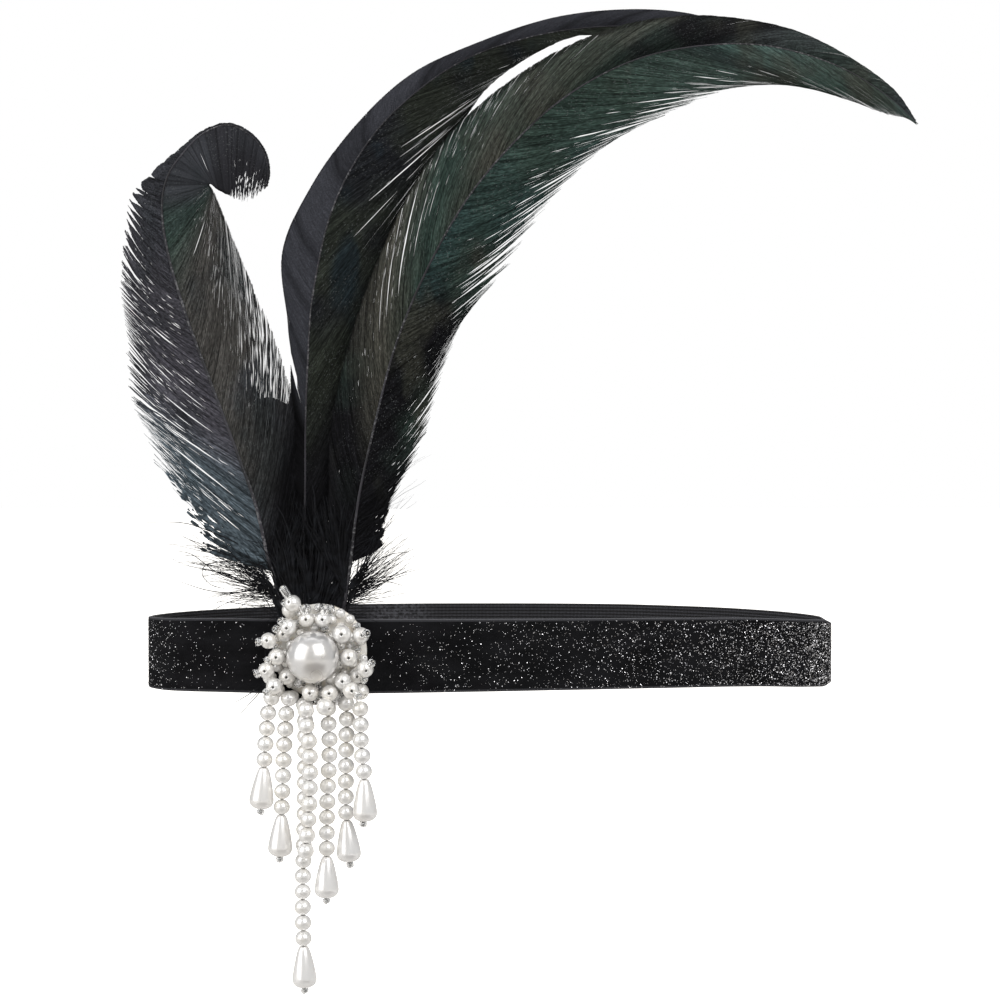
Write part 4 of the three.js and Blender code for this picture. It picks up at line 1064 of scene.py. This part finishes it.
# points from the middle of the base's front: across, forward and up; "first" is the point that the first
# bead sits on
thread = {"seed": 40, "radius": 0.22, "beadWider": (1.04, 1.07), "beadLong": 0.94, "stopper": (1.9, 1.25)}
strings = [
    {"first": 1, "beads": 5, "drop": True, "points": [
        (-11.2, 0.8, -11.4), (-14.2, 3.2, -14.0), (-15.8, 3.2, -24.5), (-16.7, 3, -36), (-17.9, 3, -52)]},
    {"first": 1, "beads": 8, "drop": True, "points": [
        (-6.6, 0.8, -12.2), (-8.4, 3.6, -14.2), (-9.7, 3.2, -25), (-10.7, 3, -45), (-11.6, 3, -67.4)]},
    {"first": 1, "beads": 16, "drop": True, "points": [
        (-4.4, 0.8, -13.6), (-3.4, 3, -16.4), (-3.4, 2.8, -50), (-4.1, 2.6, -80), (-3.5, 2.6, -110)]},
    {"first": 2, "beads": 10, "drop": False, "points": [
        (1.5, 0.8, -14.4), (0, 4.6, -15.8), (-2.4, 9, -17.4), (-1.2, 8.8, -30), (-1.3, 8.6, -48),
        (-2.6, 8.6, -64)]},
    {"first": 1, "beads": 10, "drop": True, "points": [
        (4.8, 0.8, -14.2), (4.4, 3, -17.5), (4.9, 3, -28.9), (4.1, 2.8, -49), (3.8, 2.8, -81)]},
    {"first": 1, "beads": 8, "drop": True, "points": [
        (8.9, 0.8, -13.2), (10.4, 3.2, -15.9), (10.4, 3, -31), (10.3, 3, -50), (11.5, 2.8, -68)]},
    {"first": 2, "beads": 5, "drop": True, "points": [
        (11.4, 0.8, -12.1), (13.2, 2, -14.3), (15.3, 6.6, -17.3), (15.4, 6.9, -27.1), (16.6, 6.9, -40),
        (16.2, 6.9, -54)]}]
drop = {"length": 13.8, "radius": 4.0,
        "rows": [(0.0, 0.12), (0.003, 0.28), (0.03, 0.38), (0.1, 0.5), (0.28, 0.68), (0.5, 0.85), (0.7, 0.97),
                 (0.82, 1), (0.92, 0.86), (0.98, 0.55), (0.999, 0.3), (1, 0.12)]}


def makeString(number, string):
    rng = np.random.default_rng(thread["seed"] + number)
    line = Spline([onBrooch(*point) for point in string["points"]])
    first = line.run[round((len(line.shares) - 1) * string["first"] / (len(string["points"]) - 1))]
    pitch, beads, shapes = brooch["pearl"], string["beads"], []
    for bead in range(beads):
        at = first + bead * pitch
        centre = line.atDistance(at)
        axis = unit(line.atDistance(at + 0.5) - line.atDistance(at - 0.5)) + rng.normal(0, 0.05, 3)
        radius = pitch / 2 * rng.uniform(*thread["beadWider"])
        profile = ballProfile(radius, 18, brooch["hole"], thread["beadLong"])
        shapes.append(turned(profile, 26, centre, axis, 0, rng.uniform(0, 6)))
    end = first + (beads - 0.5) * pitch
    finishAt = end + 0.3
    if string["drop"]:
        top, axis = line.atDistance(end), unit(line.atDistance(end + 1) - line.atDistance(end))
        outline = Spline([(radius * drop["radius"], along * drop["length"], 0)
                          for along, radius in drop["rows"]])
        profile = outline.at(np.linspace(0, 1, 34))[:, :2]
        profile = [(0.35, 0.9), *profile, (0.3, drop["length"] - 0.8)]
        shapes.append(turned(profile, 36, top, axis, 4, rng.uniform(0, 6)))
        seedAt = end + drop["length"] + 0.95
        shapes += seedBead(line.atDistance(seedAt), axis + rng.normal(0, 0.25, 3), *thread["stopper"])
        finishAt = seedAt + 1.2
    path = line.atDistance(np.linspace(0.3, finishAt, 60))
    shapes.append(tube(path, thread["radius"], 6, index=1, wide=np.array([1.0, 0, 0])))
    makePiece(f"pearlString{number}", shapes, [*beadFinishes, dropFinish],
              [f"strand_{number}"], ["bead"])


for number, string in enumerate(strings, 1):
    makeString(number, string)

# floor, light and camera

print("studio")
studio = {
    "floorDown": 0.135, "floorHalf": 6.0, "roomFront": 0.15, "roomBack": 0.55, "tent": 0.48,
    "darkPatch": (0.0, -0.27, -0.135), "floorGlow": 1.6,
    "camera": {"place": (0.00333, -0.735, 0.07066), "tilt": 88.5, "lens": 75.6},
    "boxes": [  # name, place, size, watts, what it faces
        ("keyBox", (0.57, -0.85, 0.80), (0.95, 1.1), 8.4, (-0.03, 0, 0.03)),
        ("fillBox", (-1.08, -0.76, 0.49), (1.4, 1.7), 11.5, (-0.03, 0, 0.03)),
        ("topBox", (0.0, 0.35, 1.5), (1.6, 1.0), 4, (0, 0, 0))],
}


def makeStudio():
    half, down = studio["floorHalf"], -studio["floorDown"]
    mesh = bpy.data.meshes.new("floor")
    mesh.from_pydata([(-half, -half, down), (half, -half, down), (half, half, down), (-half, half, down)],
                     [], [(0, 1, 2, 3)])
    floor = addObject("floor", mesh)
    finish = Finish("pale floor", specularIorLevel=0.1)
    rays = finish.node("ShaderNodeLightPath")
    grain = finish.noise(finish.place(), 30.0, 2.0, 0.5)
    tone = grain.ramp([(0.3, (0.74, 0.725, 0.70)), (0.7, (0.76, 0.745, 0.72))])
    away = finish.node("ShaderNodeVectorMath", {"operation": "DISTANCE"},
                       {0: finish.place(), 1: studio["darkPatch"]}, 1)
    dark = (1.0 - away.spread(0.12, 0.26)) * rays["Is Glossy Ray"]
    tone = finish.mix(dark, tone, (0.16, 0.14, 0.125))
    glow = rays["Is Camera Ray"] * studio["floorGlow"]
    finish.feed(baseColor=tone, roughness=grain.spread(0.3, 0.7, 0.85, 0.95), emissionStrength=1.0,
                emissionColor=finish.shaded(tone, glow))
    mesh.materials.append(finish.material)
    for name, place, size, watts, target in studio["boxes"]:
        light = bpy.data.lights.new(name, "AREA")
        light.shape, light.size, light.size_y, light.energy = "RECTANGLE", *size, watts
        box = addObject(name, light)
        box.location = place
        box.rotation_euler = (Vector(target) - Vector(place)).to_track_quat("-Z", "Y").to_euler()
    world = bpy.data.worlds.new("white studio")
    bpy.context.scene.world = world
    world.use_nodes = True
    sky = Nodes(world.node_tree)
    # white behind the object, and a dimmer room towards the front that the pearls mirror
    parts = sky.node("ShaderNodeSeparateXYZ", None, {0: sky.node("ShaderNodeTexCoord")["Generated"]})
    room = parts["Y"].spread(-0.9, 0.3, studio["roomFront"], studio["roomBack"])
    room = room * parts["Z"].spread(-0.6, 0.5, 0.7, 1.0)
    rays = sky.node("ShaderNodeLightPath")
    room = room + rays["Is Glossy Ray"] * (studio["tent"] - room)
    level = room + rays["Is Camera Ray"] * (1.0 - room)
    shade = sky.node("ShaderNodeBackground", None, {0: (1.0, 1.0, 1.0), 1: level})
    sky.tree.links.new(shade.socket, sky.tree.nodes["World Output"].inputs[0])
    data = bpy.data.cameras.new("camera")
    data.sensor_width, data.lens = 36.0, studio["camera"]["lens"]
    data.clip_start, data.clip_end = 0.01, 50.0
    camera = addObject("camera", data)
    camera.location = studio["camera"]["place"]
    camera.rotation_euler = (radians(studio["camera"]["tilt"]), 0, 0)
    bpy.context.scene.camera = camera
    bpy.context.scene.view_settings.view_transform = "Standard"


makeStudio()
